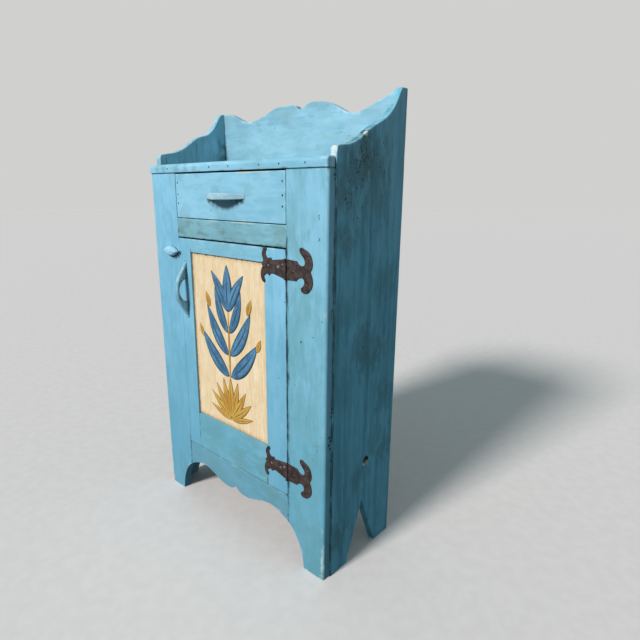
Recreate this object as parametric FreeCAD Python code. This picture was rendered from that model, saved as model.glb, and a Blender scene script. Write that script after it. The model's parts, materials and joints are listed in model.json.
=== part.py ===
import FreeCAD, Part
import os
from FreeCAD import Vector, Placement, Rotation

os.makedirs("parts", exist_ok=True)

# Overall sizes, in millimetres. The front of the face frame is y = 0, the floor is z = 0.
frame_width = 640.0
depth = 264.0
peak_height = 1121.0
gallery_right_height = 986.5
gallery_left_height = 995.5

# Carcass boards
frame_thick = 22.0
side_thick = 20.0
side_proud = 3.0
stile_width = 115.5
stile_round = 5.0
side_joint_back = 141.0
top_under = 944.0
top_thick = 22.0
strip_proud = 4.0
strip_end = 0.5
strip_round = 12.0
gallery_thick = 20.0
back_thick = 14.0
back_gap = 1.0
bottom_thick = 20.0
shelf_thick = 18.0
shelf_height = 470.0
shelf_inset = 1.5
cleat = 20.0
bed_thick = 18.0
guide_height = 22.0
guide_width = 20.0

# Face frame openings
apron_top = 178.0
mid_rail_bottom = 781.0
mid_rail_top = 829.0

# Feet: V cut in the sides, and the knot hole beside the joint
notch_height = 150.0
notch_front = 83.0
notch_back = 203.0
knot_height = 257.0
knot_wide = 21.0
knot_tall = 22.0
knot_edge = 1.5

# Drawer
drawer_gap_side = 1.5
drawer_gap_top = 3.5
drawer_gap_bottom = 1.5
drawer_wall = 12.0
drawer_side_inset = 3.0
drawer_side_height = 98.0
drawer_length = 212.0
drawer_floor = 8.0
drawer_floor_up = 8.0
drawer_groove = 5.0
slide_clear = 0.4
guide_clear = 1.0
guide_start = 2.0

# Door
door_gap_side = 1.5
door_gap_top = 4.0
door_gap_bottom = 2.5
door_stile_left_width = 49.0
door_stile_right_width = 70.0
door_rail_top_width = 34.0
door_rail_bottom_width = 107.0
panel_thick = 8.0
panel_recess = 5.0
panel_groove = 9.0
panel_float = 1.0

# Pulls: length, reach from the board, finger gap length and depth, width in the middle and at the ends
door_pull = (158.0, 36.0, 68.0, 28.0, 16.0, 9.0)
drawer_pull = (145.0, 34.0, 76.0, 20.0, 16.0, 11.0)
door_pull_below = 137.0
drawer_pull_drop = 0.5

# Turn button, its screw off centre so that it laps the door only when turned half round
button_length = 66.0
button_height = 27.0
button_thick = 11.0
button_clear = 0.5
button_short = 3.0
button_offset = 6.5
button_below = 37.0

# Hinges
leaf_thick = 2.4
knuckle_radius = 3.2
knuckle_clear = 0.4
knuckle_axial = 0.3
knuckle_half = 22.5
hinge_pin_radius = 1.5
running_clear = 0.05
upper_hinge_below = 42.0
lower_hinge_above = 64.5

# Screws and nails
screw_radius = 1.6
screw_length = 15.0
screw_head_radius = 3.3
screw_head_height = 1.3
slot_width = 0.9
slot_depth = 0.6
pull_screw_radius = 2.0
pull_screw_bite = 8.0
pull_screw_head = 4.0
pull_screw_head_height = 2.2
nail_radius = 1.1
nail_head_radius = 2.3
nail_head_thick = 1.2
nail_bite = 20.0
stile_nail_end = 40.0
hole_clear = 0.1

# Derived places
half = frame_width / 2
open_half = half - stile_width
side_out = half + side_proud
side_in = side_out - side_thick
top_height = top_under + top_thick
back_front = depth - back_thick
door_left = -open_half + door_gap_side
door_right = open_half - door_gap_side
door_bottom = apron_top + door_gap_bottom
door_top = mid_rail_bottom - door_gap_top
panel_left = door_left + door_stile_left_width
panel_right = door_right - door_stile_right_width
panel_bottom = door_bottom + door_rail_bottom_width
panel_top = door_top - door_rail_top_width
hinge_x = open_half - door_gap_side / 2
hinge_y = -(knuckle_radius + knuckle_clear)
y_middle = (depth - max(door_pull[1], drawer_pull[1])) / 2


def export(name, shape):
    moved = shape.copy()
    moved.translate(Vector(0, -y_middle, 0))
    moved.exportStep("parts/" + name + ".step")


def box(x0, x1, y0, y1, z0, z1):
    return Part.makeBox(x1 - x0, y1 - y0, z1 - z0, Vector(x0, y0, z0))


def smooth(points):
    curve = Part.BSplineCurve()
    curve.interpolate(points)
    return curve.toShape()


def arc(a, b, c):
    return Part.Arc(a, b, c).toShape()


def sheet(edges, direction):
    return Part.Face(Part.Wire(edges)).extrude(direction)


def mirrored(shape):
    return shape.mirror(Vector(0, 0, 0), Vector(1, 0, 0))


def placed(shape, spot, outward):
    turned = shape.copy()
    turned.Placement = Placement(spot, Rotation(Vector(0, 0, 1), outward))
    return turned


# A nail or screw stands along its outward direction with its seat at the origin.
def nail(length, clear=0.0):
    head = Part.makeCylinder(nail_head_radius + clear, nail_head_thick, Vector(0, 0, -nail_head_thick))
    shank = Part.makeCylinder(nail_radius + clear, length, Vector(0, 0, -length))
    return head.fuse(shank)


def dome(radius, height):
    ball = (radius ** 2 + height ** 2) / (2 * height)
    cap = box(-2 * radius, 2 * radius, -2 * radius, 2 * radius, 0, height)
    return Part.makeSphere(ball, Vector(0, 0, height - ball)).common(cap)


def screw(radius, length, head_radius, head_height):
    shank = Part.makeCylinder(radius, length, Vector(0, 0, -length))
    head = dome(head_radius, head_height)
    slot_half = slot_width / 2
    slot = box(-head_radius, head_radius, -slot_half, slot_half, head_height - slot_depth, head_height)
    return head.cut(slot).fuse(shank)


def bore(radius, length):
    return Part.makeCylinder(radius + hole_clear, length, Vector(0, 0, -length))


def drill(board, tool, spots, outward):
    for spot in spots:
        board = board.cut(placed(tool, spot, outward))
    return board


def group(tool, spots, outward):
    return [placed(tool, spot, outward) for spot in spots]


front = Vector(0, -1, 0)
rear = Vector(0, 1, 0)
out_left = Vector(-1, 0, 0)
out_right = Vector(1, 0, 0)

# Sides: one outline for each side, sawn into a front and a rear board. The gallery curves, sawn by hand
# and not quite alike, are given as shares of the side's depth and of the gallery's rise.
right_curve = ((0.035, 0.0), (0.15, 0.028), (0.27, 0.1), (0.405, 0.25), (0.535, 0.372), (0.645, 0.464),
               (0.735, 0.577), (0.82, 0.745), (0.875, 0.905), (0.902, 0.982))
left_curve = ((0.035, 0.0), (0.12, 0.03), (0.2, 0.062), (0.283, 0.13), (0.368, 0.225), (0.455, 0.342), (0.52, 0.42),
              (0.587, 0.464), (0.653, 0.503), (0.715, 0.585), (0.77, 0.7), (0.82, 0.853), (0.86, 0.953))
side_deep = depth - frame_thick


def side_point(y, z):
    return Vector(side_in, y, z)


def side_sheet(curve, height, flat):
    rise = peak_height - height
    points = [side_point(frame_thick + u * side_deep, height + v * rise) for u, v in curve]
    drop = side_deep * curve[0][0]
    corner = side_point(frame_thick, height - drop)
    corner_mid = (corner + points[0]) * 0.5 + Vector(0, -0.18, 0.18) * drop
    corners = [points[-1], side_point(frame_thick + flat * side_deep, peak_height),
               side_point(depth, peak_height), side_point(depth, 0), side_point(notch_back, 0),
               side_point(side_joint_back, notch_height), side_point(notch_front, 0),
               side_point(frame_thick, 0), corner]
    edges = [arc(corner, corner_mid, points[0]), smooth(points)]
    edges += [Part.makeLine(a, b) for a, b in zip(corners, corners[1:])]
    return sheet(edges, Vector(side_thick, 0, 0))


side_right = side_sheet(right_curve, gallery_right_height, 0.925)
side_left = side_sheet(left_curve, gallery_left_height, 0.888)
front_half = box(side_in, side_out, 0, side_joint_back, 0, peak_height)
knot = Part.makeCylinder(knot_wide / 2, side_thick)
stretch = FreeCAD.Matrix()
stretch.scale(Vector(knot_tall / knot_wide, 1, 1))
knot = knot.transformGeometry(stretch)
knot = placed(knot, Vector(side_in, side_joint_back + knot_edge + knot_wide / 2, knot_height), out_right)

bed_nail_height = mid_rail_top - bed_thick / 2
side_nail_rows = ((top_height - top_thick / 2, (0.2, 0.6, 0.86)), (bed_nail_height, (0.2, 0.56, 0.84)),
                  (apron_top - bottom_thick / 2, (0.2, 0.84)))
side_nail_length = side_thick + nail_bite
side_nail_spots = [Vector(side_out, frame_thick + u * side_deep, z) for z, row in side_nail_rows for u in row]
gallery_nail_spots = [Vector(side_out, depth - gallery_thick / 2, top_height + k * (peak_height - top_height))
                      for k in (0.25, 0.65)]
side_nail_spots += gallery_nail_spots
stile_nail_x = side_in + side_thick * 0.45
stile_nail_pitch = (top_under - 2 * stile_nail_end) / 4
stile_nail_spots = [Vector(stile_nail_x, 0, stile_nail_end + k * stile_nail_pitch) for k in range(5)]
stile_nail_length = frame_thick + nail_bite


def nailed_side(board):
    board = drill(board, nail(side_nail_length, hole_clear), side_nail_spots, out_right)
    return drill(board, nail(stile_nail_length, hole_clear), stile_nail_spots, front)


export("side_right_front", nailed_side(side_right.common(front_half)))
export("side_right_rear", nailed_side(side_right.cut(front_half)).cut(knot))
export("side_left_front", mirrored(nailed_side(side_left.common(front_half))))
export("side_left_rear", mirrored(nailed_side(side_left.cut(front_half))))

side_nails = group(nail(side_nail_length), side_nail_spots, out_right)
export("side_nails", Part.makeCompound(side_nails + [mirrored(n) for n in side_nails]))
stile_nails = group(nail(stile_nail_length), stile_nail_spots, front)
export("stile_nails", Part.makeCompound(stile_nails + [mirrored(n) for n in stile_nails]))

# Scroll of the apron and feet, as shares of half the frame width and of the apron's top height
scroll = ((0.0, 0.645), (0.05, 0.583), (0.12, 0.57), (0.195, 0.588), (0.28, 0.638), (0.37, 0.686),
          (0.456, 0.702), (0.55, 0.66), (0.64, 0.583), (0.713, 0.46), (0.765, 0.292), (0.79, 0.124))
foot_x = 0.8 * half
right_scroll = [Vector(u * half, 0, v * apron_top) for u, v in scroll] + [Vector(foot_x, 0, 0)]
left_scroll = [Vector(-p.x, 0, p.z) for p in right_scroll]
below = -frame_thick
scroll_corners = [Vector(foot_x, 0, 0), Vector(foot_x, 0, below),
                  Vector(-foot_x, 0, below), Vector(-foot_x, 0, 0)]
scroll_edges = [smooth(right_scroll), smooth(left_scroll)]
scroll_edges += [Part.makeLine(a, b) for a, b in zip(scroll_corners, scroll_corners[1:])]
scroll_cut = Part.Face(Part.Wire(Part.__sortEdges__(scroll_edges))).extrude(Vector(0, frame_thick, 0))

# Hinge leaves, outlined from the pin line (x) and the hinge's middle height (z)
screw_tool = screw(screw_radius, screw_length, screw_head_radius, screw_head_height)
screw_bore = bore(screw_radius, screw_length)
door_leaf_screws = ((-23.0, 3.0), (-9.5, 9.0), (-54.5, 3.0))
frame_leaf_screws = ((22.5, -2.5), (67.5, 28.5), (61.0, -28.0))
hinge_heights = {"upper": door_top - upper_hinge_below, "lower": door_bottom + lower_hinge_above}


def leaf_screw_spots(places, y):
    return [Vector(hinge_x + u, y, z + v) for z in hinge_heights.values() for u, v in places]


def leaf_outline(runs, z):
    edges = []
    for run in runs:
        points = [Vector(hinge_x + u, -leaf_thick, z + v) for u, v in run]
        edges.append(smooth(points) if len(points) > 2 else Part.makeLine(points[0], points[1]))
    return sheet(edges, Vector(0, leaf_thick, 0))


def knuckle(z0, z1, grow=0.0):
    return Part.makeCylinder(knuckle_radius + grow, z1 - z0, Vector(hinge_x, hinge_y, z0))


door_leaf = (((0, 22.5), (-44, 16.5)),
             ((-44, 16.5), (-47, 21.5), (-53.5, 20.0), (-60.5, 21.5)),
             ((-60.5, 21.5), (-64.0, 31.0), (-60.0, 40.5)),
             ((-60.0, 40.5), (-64.0, 44.5), (-70.5, 40.5), (-75.5, 29.5), (-72.0, 15.5)),
             ((-72.0, 15.5), (-72.5, 10.5), (-77.0, 6.0), (-74.0, 0.5)),
             ((-74.0, 0.5), (-79.0, -9.0), (-80.5, -22.0), (-75.5, -33.5), (-70.0, -37.0)),
             ((-70.0, -37.0), (-66.5, -32.5), (-70.0, -22.5), (-63.0, -15.5)),
             ((-63.0, -15.5), (-57.5, -15.5), (-53.5, -18.5), (-49.0, -14.5), (-40.0, -13.0)),
             ((-40.0, -13.0), (0, -22.5)),
             ((0, -22.5), (0, 22.5)))
frame_leaf = (((0, 22.5), (33, 21.0)),
              ((33, 21.0), (39, 14.5), (48.5, 12.0), (56.0, 16.5), (55.0, 25.5), (47.0, 35.0), (41.5, 41.0)),
              ((41.5, 41.0), (42.5, 49.0), (56.0, 47.0), (70.0, 39.0), (77.0, 25.0), (77.0, 12.0),
               (72.0, 2.0)),
              ((72.0, 2.0), (77.5, -12.0), (78.0, -25.0), (71.0, -38.0), (58.0, -45.5), (47.0, -42.5),
               (44.5, -35.5)),
              ((44.5, -35.5), (52.0, -29.5), (55.0, -20.5), (49.5, -14.0), (40.0, -14.5), (30.5, -21.5)),
              ((30.5, -21.5), (0, -22.5)),
              ((0, -22.5), (0, 22.5)))
pin_bore = hinge_pin_radius + running_clear
leaf_bore = bore(screw_radius, leaf_thick)
for name, z in hinge_heights.items():
    low = z - knuckle_half
    high = z + knuckle_half
    third = (high - low) / 3
    upper_ring = (high - third + knuckle_axial / 2, high)
    lower_ring = (low, low + third - knuckle_axial / 2)
    middle_ring = (low + third + knuckle_axial / 2, high - third - knuckle_axial / 2)
    hole = Part.makeCylinder(pin_bore, high - low, Vector(hinge_x, hinge_y, low))
    rings = knuckle(*upper_ring).fuse(knuckle(*lower_ring))
    middle_room = knuckle(low + third - knuckle_axial / 2, high - third + knuckle_axial / 2, knuckle_clear)
    outer_room = knuckle(high - third - knuckle_axial / 2, high + 1, knuckle_clear)
    outer_room = outer_room.fuse(knuckle(low - 1, low + third + knuckle_axial / 2, knuckle_clear))
    leaf = leaf_outline(door_leaf, z).cut(outer_room).fuse(knuckle(*middle_ring)).cut(hole)
    leaf = drill(leaf, leaf_bore, leaf_screw_spots(door_leaf_screws, -leaf_thick), front)
    export("hinge_" + name + "_door_leaf", leaf)
    leaf = leaf_outline(frame_leaf, z).cut(middle_room).fuse(rings).cut(hole)
    leaf = drill(leaf, leaf_bore, leaf_screw_spots(frame_leaf_screws, -leaf_thick), front)
    export("hinge_" + name + "_frame_leaf", leaf)
    pin = Part.makeCylinder(hinge_pin_radius, high - low, Vector(hinge_x, hinge_y, low))
    pin = pin.fuse(placed(dome(knuckle_radius * 0.85, 1.6), Vector(hinge_x, hinge_y, high), Vector(0, 0, 1)))
    export("hinge_" + name + "_pin", pin)

door_screw_spots = leaf_screw_spots(door_leaf_screws, -leaf_thick)
frame_screw_spots = leaf_screw_spots(frame_leaf_screws, -leaf_thick)
export("hinge_door_screws", Part.makeCompound(group(screw_tool, door_screw_spots, front)))
export("hinge_frame_screws", Part.makeCompound(group(screw_tool, frame_screw_spots, front)))

# Turn button on the left stile
button_tip = door_left - button_short
button_x = button_tip - button_length / 2
pivot_x = button_x + button_offset
button_z = door_top - button_below
button_face = -(button_clear + button_thick)
pivot = Vector(pivot_x, button_face - button_clear, button_z)
pivot_length = button_thick + 2 * button_clear + frame_thick * 0.7
left_tip = Vector(button_x - button_length / 2, button_face, button_z)
right_tip = Vector(button_x + button_length / 2, button_face, button_z)
crest = Vector(button_x, button_face, button_z + button_height / 2)
trough = Vector(button_x, button_face, button_z - button_height / 2)
button_edges = [arc(left_tip, crest, right_tip), arc(right_tip, trough, left_tip)]
button = sheet(button_edges, Vector(0, button_thick, 0))
pivot_hole = Part.makeCylinder(pull_screw_radius + running_clear, pivot_length, pivot, rear)
export("turn_button", button.cut(pivot_hole))
pivot_screw = screw(pull_screw_radius, pivot_length, pull_screw_head, pull_screw_head_height)
export("turn_button_screw", placed(pivot_screw, pivot, front))

# Face frame
stile = box(open_half, half, 0, frame_thick, 0, top_under)
outer_arris = [e for e in stile.Edges if e.BoundBox.XMin > open_half + 1 and e.BoundBox.YMax < 1]
outer_arris = [e for e in outer_arris if e.BoundBox.ZLength > stile_width]
stile = stile.makeFillet(stile_round, outer_arris).cut(scroll_cut)
stile = drill(stile, nail(stile_nail_length, hole_clear), stile_nail_spots, front)
export("stile_right", drill(stile, screw_bore, frame_screw_spots, front))
button_bore = bore(pull_screw_radius, pivot_length)
export("stile_left", drill(mirrored(stile), button_bore, [pivot], front))
export("mid_rail", box(-open_half, open_half, 0, frame_thick, mid_rail_bottom, mid_rail_top))
export("apron", box(-open_half, open_half, 0, frame_thick, 0, apron_top).cut(scroll_cut))

# Top, strip and gallery
strip_nail_length = strip_proud + frame_thick + nail_bite
strip_nail_spots = [Vector(u * half, -strip_proud, top_under + top_thick * 0.42)
                    for u in (-0.72, -0.16, 0.066, 0.394, 0.588, 0.82)]
strip = box(-half - strip_end, half + strip_end, -strip_proud, frame_thick, top_under, top_height)
nose = [e for e in strip.Edges if e.BoundBox.YMax < 0 and e.BoundBox.ZMin > top_under + 1]
strip = strip.makeFillet(strip_round, nose)
export("top_strip", drill(strip, nail(strip_nail_length, hole_clear), strip_nail_spots, front))
export("strip_nails", Part.makeCompound(group(nail(strip_nail_length), strip_nail_spots, front)))


def nailed_in(board, spots):
    board = drill(board, nail(side_nail_length, hole_clear), spots, out_right)
    return drill(board, nail(side_nail_length, hole_clear), [Vector(-p.x, p.y, p.z) for p in spots], out_left)


top_board = nailed_in(box(-side_in, side_in, frame_thick, depth, top_under, top_height), side_nail_spots)
export("top_board", drill(top_board, nail(strip_nail_length, hole_clear), strip_nail_spots, front))

# Crest of the back gallery from its notch to each end, as shares of half its length and of its rise
right_crest = ((0.028, 0.901), (0.058, 0.914), (0.09, 0.953), (0.145, 0.988), (0.21, 0.994), (0.29, 0.978),
               (0.38, 0.931), (0.465, 0.856), (0.548, 0.772), (0.62, 0.747), (0.705, 0.771), (0.78, 0.815),
               (0.85, 0.868), (0.92, 0.921), (1.0, 0.978))
left_crest = ((0.028, 0.901), (0.01, 0.921), (-0.013, 0.963), (-0.036, 0.978), (-0.075, 0.986), (-0.122, 0.994),
              (-0.175, 0.996), (-0.223, 0.994), (-0.275, 0.975), (-0.328, 0.94), (-0.38, 0.906), (-0.436, 0.872),
              (-0.49, 0.84), (-0.548, 0.817), (-0.604, 0.807), (-0.66, 0.815), (-0.72, 0.844), (-0.777, 0.891),
              (-0.85, 0.953), (-0.896, 0.982), (-0.94, 0.993), (-1.0, 0.998))
gallery_front = depth - gallery_thick
gallery_rise = peak_height - top_height


def crest_points(crest):
    return [Vector(u * side_in, gallery_front, top_height + v * gallery_rise) for u, v in crest]


right_top = crest_points(right_crest)
left_top = crest_points(left_crest)
gallery_corners = [right_top[-1], Vector(side_in, gallery_front, top_height),
                   Vector(-side_in, gallery_front, top_height), left_top[-1]]
gallery_edges = [smooth(right_top), smooth(left_top)]
gallery_edges += [Part.makeLine(a, b) for a, b in zip(gallery_corners, gallery_corners[1:])]
gallery_face = Part.Face(Part.Wire(Part.__sortEdges__(gallery_edges)))
gallery_board = gallery_face.extrude(Vector(0, gallery_thick, 0))
export("back_gallery", nailed_in(gallery_board, side_nail_spots))

# Inside of the carcass
bottom_board = box(-side_in, side_in, frame_thick, back_front, apron_top - bottom_thick, apron_top)
bed = box(-side_in, side_in, frame_thick, back_front, mid_rail_top - bed_thick, mid_rail_top)
back_names = ("left", "middle", "right")
back_width = (2 * side_in - 2 * back_gap) / len(back_names)
back_nail_length = back_thick + nail_bite
back_nail_spots = []
for k in range(len(back_names)):
    x0 = -side_in + k * (back_width + back_gap)
    for share in (0.2, 0.8):
        for z in (apron_top - bottom_thick / 2, bed_nail_height):
            back_nail_spots.append(Vector(x0 + share * back_width, depth, z))
back_tool = nail(back_nail_length, hole_clear)
for k, name in enumerate(back_names):
    x0 = -side_in + k * (back_width + back_gap)
    board = box(x0, x0 + back_width, back_front, depth, apron_top - bottom_thick, top_under)
    export("back_board_" + name, nailed_in(drill(board, back_tool, back_nail_spots, rear), side_nail_spots))
export("back_nails", Part.makeCompound(group(nail(back_nail_length), back_nail_spots, rear)))
export("bottom_board", drill(nailed_in(bottom_board, side_nail_spots), back_tool, back_nail_spots, rear))
export("drawer_bed", drill(nailed_in(bed, side_nail_spots), back_tool, back_nail_spots, rear))

shelf_front = frame_thick + shelf_inset
export("shelf", box(-side_in, side_in, shelf_front, back_front, shelf_height, shelf_height + shelf_thick))
shelf_cleat = box(side_in - cleat, side_in, shelf_front + cleat, back_front,
                  shelf_height - cleat, shelf_height)
export("shelf_cleat_right", shelf_cleat)
export("shelf_cleat_left", mirrored(shelf_cleat))

# Drawer
drawer_half = open_half - drawer_gap_side
drawer_out = drawer_half - drawer_side_inset
drawer_in = drawer_out - drawer_wall
drawer_low = mid_rail_top + slide_clear
drawer_end = frame_thick + drawer_length
floor_low = drawer_low + drawer_floor_up
floor_high = floor_low + drawer_floor
front_low = mid_rail_top + drawer_gap_bottom
front_high = top_under - drawer_gap_top
guide_in = drawer_out + guide_clear
guide = box(guide_in, guide_in + guide_width, frame_thick + guide_start, back_front,
            mid_rail_top, mid_rail_top + guide_height)
export("drawer_guide_right", guide)
export("drawer_guide_left", mirrored(guide))

drawer_nail_length = frame_thick + nail_bite
drawer_nail_spots = [Vector(drawer_in + drawer_wall / 2, 0, front_low + k * (front_high - front_low))
                     for k in (0.33, 0.54, 0.8)]
drawer_tool = nail(drawer_nail_length, hole_clear)
drawer_nail_set = group(nail(drawer_nail_length), drawer_nail_spots, front)
export("drawer_nails", Part.makeCompound(drawer_nail_set + [mirrored(n) for n in drawer_nail_set]))
drawer_side = box(drawer_in, drawer_out, frame_thick, drawer_end, drawer_low, drawer_low + drawer_side_height)
floor_half = drawer_in + drawer_groove
floor_board = box(-floor_half, floor_half, frame_thick - drawer_groove, drawer_end, floor_low, floor_high)
drawer_side = drill(drawer_side.cut(floor_board), drawer_tool, drawer_nail_spots, front)
export("drawer_side_right", drawer_side)
export("drawer_side_left", mirrored(drawer_side))
export("drawer_bottom", floor_board)
export("drawer_back", box(-drawer_in, drawer_in, drawer_end - drawer_wall, drawer_end,
                          floor_high, drawer_low + drawer_side_height))


# Carved bow pull lying along x, its seat on y = 0
def bow(length, reach, gap, gap_deep, wide, narrow):
    a = Vector(-length / 2, 0, -wide)
    b = Vector(length / 2, 0, -wide)
    c = Vector(-gap / 2, 0, -wide)
    d = Vector(gap / 2, 0, -wide)
    over = arc(a, Vector(0, -reach, -wide), b)
    under = arc(d, Vector(0, -gap_deep, -wide), c)
    profile = sheet([over, Part.makeLine(b, d), under, Part.makeLine(c, a)], Vector(0, 0, 2 * wide))
    ends = [Vector(-length / 2, 0, narrow / 2), Vector(length / 2, 0, narrow / 2),
            Vector(length / 2, 0, -narrow / 2), Vector(-length / 2, 0, -narrow / 2)]
    lens = sheet([arc(ends[0], Vector(0, 0, wide / 2), ends[1]), Part.makeLine(ends[1], ends[2]),
                  arc(ends[2], Vector(0, 0, -wide / 2), ends[3]), Part.makeLine(ends[3], ends[0])],
                 Vector(0, -2 * reach, 0))
    return profile.common(lens)


def pull_screw_reach(length, gap):
    return (length + gap) / 4


pull_screw_length = frame_thick + pull_screw_bite
pull_screw = screw(pull_screw_radius, pull_screw_length, pull_screw_head, pull_screw_head_height)
pull_bore = bore(pull_screw_radius, pull_screw_length)

drawer_pull_z = (front_low + front_high) / 2 + drawer_pull_drop
reach = pull_screw_reach(drawer_pull[0], drawer_pull[2])
drawer_pull_spots = [Vector(side * reach, frame_thick, drawer_pull_z) for side in (-1, 1)]
bow_shape = bow(*drawer_pull)
bow_shape.translate(Vector(0, 0, drawer_pull_z))
export("drawer_pull", drill(bow_shape, pull_bore, drawer_pull_spots, rear))
export("drawer_pull_screws", Part.makeCompound(group(pull_screw, drawer_pull_spots, rear)))
drawer_front = box(-drawer_half, drawer_half, 0, frame_thick, front_low, front_high).cut(floor_board)
drawer_front = drill(drawer_front, drawer_tool, drawer_nail_spots, front)
drawer_front = drill(drawer_front, drawer_tool, [Vector(-p.x, p.y, p.z) for p in drawer_nail_spots], front)
export("drawer_front", drill(drawer_front, pull_bore, drawer_pull_spots, rear))

# Door: grooved stiles, rails with stub tenons in the groove, panel loose in the groove
groove_y = (panel_recess, panel_recess + panel_thick)
groove_box = box(panel_left - panel_groove, panel_right + panel_groove, groove_y[0], groove_y[1],
                 panel_bottom - panel_groove, panel_top + panel_groove)
tenon_box = box(panel_left - panel_groove, panel_right + panel_groove, groove_y[0], groove_y[1],
                door_bottom, door_top)
door_pull_x = (door_left + panel_left) / 2
door_pull_z = door_top - door_pull_below
reach = pull_screw_reach(door_pull[0], door_pull[2])
door_pull_spots = [Vector(door_pull_x, frame_thick, door_pull_z + side * reach) for side in (-1, 1)]
upright = bow(*door_pull)
upright.rotate(Vector(0, 0, 0), Vector(0, 1, 0), 90)
upright.translate(Vector(door_pull_x, 0, door_pull_z))
export("door_pull", drill(upright, pull_bore, door_pull_spots, rear))
export("door_pull_screws", Part.makeCompound(group(pull_screw, door_pull_spots, rear)))
left = box(door_left, panel_left, 0, frame_thick, door_bottom, door_top).cut(tenon_box)
export("door_stile_left", drill(left, pull_bore, door_pull_spots, rear))
right = box(panel_right, door_right, 0, frame_thick, door_bottom, door_top).cut(tenon_box)
export("door_stile_right", drill(right, screw_bore, door_screw_spots, front))
rail_spans = {"top": (panel_top, door_top), "bottom": (door_bottom, panel_bottom)}
for name, (low, high) in rail_spans.items():
    rail = box(panel_left, panel_right, 0, frame_thick, low, high)
    tenons = box(panel_left - panel_groove, panel_right + panel_groove, groove_y[0], groove_y[1], low, high)
    export("door_rail_" + name, rail.fuse(tenons).cut(groove_box))
slack = panel_groove - panel_float
export("door_panel", box(panel_left - slack, panel_right + slack, groove_y[0], groove_y[1],
                         panel_bottom - slack, panel_top + slack))
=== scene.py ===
import json
import math
import bpy
import bmesh
from mathutils import Matrix, Vector, kdtree, noise

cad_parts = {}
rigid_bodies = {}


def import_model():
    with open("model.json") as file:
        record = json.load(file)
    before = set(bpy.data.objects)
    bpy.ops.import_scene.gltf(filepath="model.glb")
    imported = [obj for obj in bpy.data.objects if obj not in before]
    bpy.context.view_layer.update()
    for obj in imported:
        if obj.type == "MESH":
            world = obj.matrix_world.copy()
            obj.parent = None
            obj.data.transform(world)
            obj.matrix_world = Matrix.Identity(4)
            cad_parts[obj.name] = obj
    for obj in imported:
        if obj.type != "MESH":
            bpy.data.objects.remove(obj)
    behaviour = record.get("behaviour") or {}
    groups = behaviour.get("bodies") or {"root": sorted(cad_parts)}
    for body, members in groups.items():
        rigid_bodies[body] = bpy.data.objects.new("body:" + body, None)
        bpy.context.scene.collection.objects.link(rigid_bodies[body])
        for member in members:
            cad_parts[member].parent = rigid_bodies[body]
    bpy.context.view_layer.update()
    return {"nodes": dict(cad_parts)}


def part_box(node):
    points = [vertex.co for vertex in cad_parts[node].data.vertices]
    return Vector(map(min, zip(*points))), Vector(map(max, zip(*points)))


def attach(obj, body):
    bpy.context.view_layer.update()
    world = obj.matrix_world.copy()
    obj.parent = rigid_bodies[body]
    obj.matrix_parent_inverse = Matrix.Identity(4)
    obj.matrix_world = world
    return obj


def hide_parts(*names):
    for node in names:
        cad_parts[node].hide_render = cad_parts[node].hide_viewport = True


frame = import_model()
nodes = frame["nodes"]
mm = 0.001
faceY = -0.114  # front of the face frame; sizes below are in mm from there
hair = 0.5  # mm, an edge this near a plane lies on it
frontBand = 1.0  # mm, an edge this near a face belongs to it
boardStep = 30  # mm between the points along a board's outline
sceneItems = bpy.context.scene.collection.objects
print("frame loaded:", len(nodes), "nodes")

# ways to lay a drawn outline: u, v on the board's face and w through its thickness
frontLay = Matrix(((mm, 0, 0, 0), (0, 0, mm, faceY), (0, mm, 0, 0), (0, 0, 0, 1)))
rightLay = Matrix(((0, 0, mm, 0), (mm, 0, 0, faceY), (0, mm, 0, 0), (0, 0, 0, 1)))
leftLay = Matrix(((0, 0, -mm, 0), (mm, 0, 0, faceY), (0, mm, 0, 0), (0, 0, 0, 1)))
levelLay = Matrix(((mm, 0, 0, 0), (0, mm, 0, faceY), (0, 0, mm, 0), (0, 0, 0, 1)))


def boxOf(node):
    low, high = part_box(node)
    y0, y1 = (low.y - faceY) / mm, (high.y - faceY) / mm
    return low.x / mm, high.x / mm, y0, y1, low.z / mm, high.z / mm


def tone(red, green, blue):  # a screen colour as Blender's linear one
    def line(c):
        c = c / 255
        return c / 12.92 if c < 0.04 else ((c + 0.055) / 1.055) ** 2.4
    return line(red), line(green), line(blue), 1.0


# shader nodes in short
def add(tree, kind, ins, **options):
    made = tree.nodes.new("ShaderNode" + kind)
    for key, value in options.items():
        setattr(made, key, value)
    for key, value in ins.items():
        if isinstance(value, bpy.types.NodeSocket):
            tree.links.new(value, made.inputs[key])
        else:
            made.inputs[key].default_value = value
    return made


def grainNoise(tree, place, scale, stretch=(1, 1, 1), detail=3.0, rough=0.55, shift=(0, 0, 0)):
    laid = add(tree, "Mapping", {"Vector": place, "Scale": stretch, "Location": shift}).outputs[0]
    ins = {"Vector": laid, "Scale": scale, "Detail": detail, "Roughness": rough}
    return add(tree, "TexNoise", ins).outputs[0]


def ramp(tree, value, low, high, start=0.0, end=1.0):
    ins = {0: value, 1: low, 2: high, 3: start, 4: end}
    return add(tree, "MapRange", ins, interpolation_type="SMOOTHSTEP").outputs[0]


def sums(tree, kind, a, b):
    return add(tree, "Math", {0: a, 1: b}, operation=kind).outputs[0]


def times(tree, a, b):
    return sums(tree, "MULTIPLY", a, b)


def plus(tree, a, b):
    return sums(tree, "ADD", a, b)


def less(tree, a, b):
    return sums(tree, "SUBTRACT", a, b)


def most(tree, a, b):
    return sums(tree, "MAXIMUM", a, b)


def mixTone(tree, share, a, b):
    return add(tree, "Mix", {0: share, 6: a, 7: b}, data_type="RGBA").outputs[2]


def newFinish(name):
    finish = bpy.data.materials.new(name)
    finish.use_nodes = True
    tree = finish.node_tree
    shader = tree.nodes["Principled BSDF"]
    place = add(tree, "TexCoord", {}).outputs["Object"]
    return finish, tree, shader, place


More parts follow.
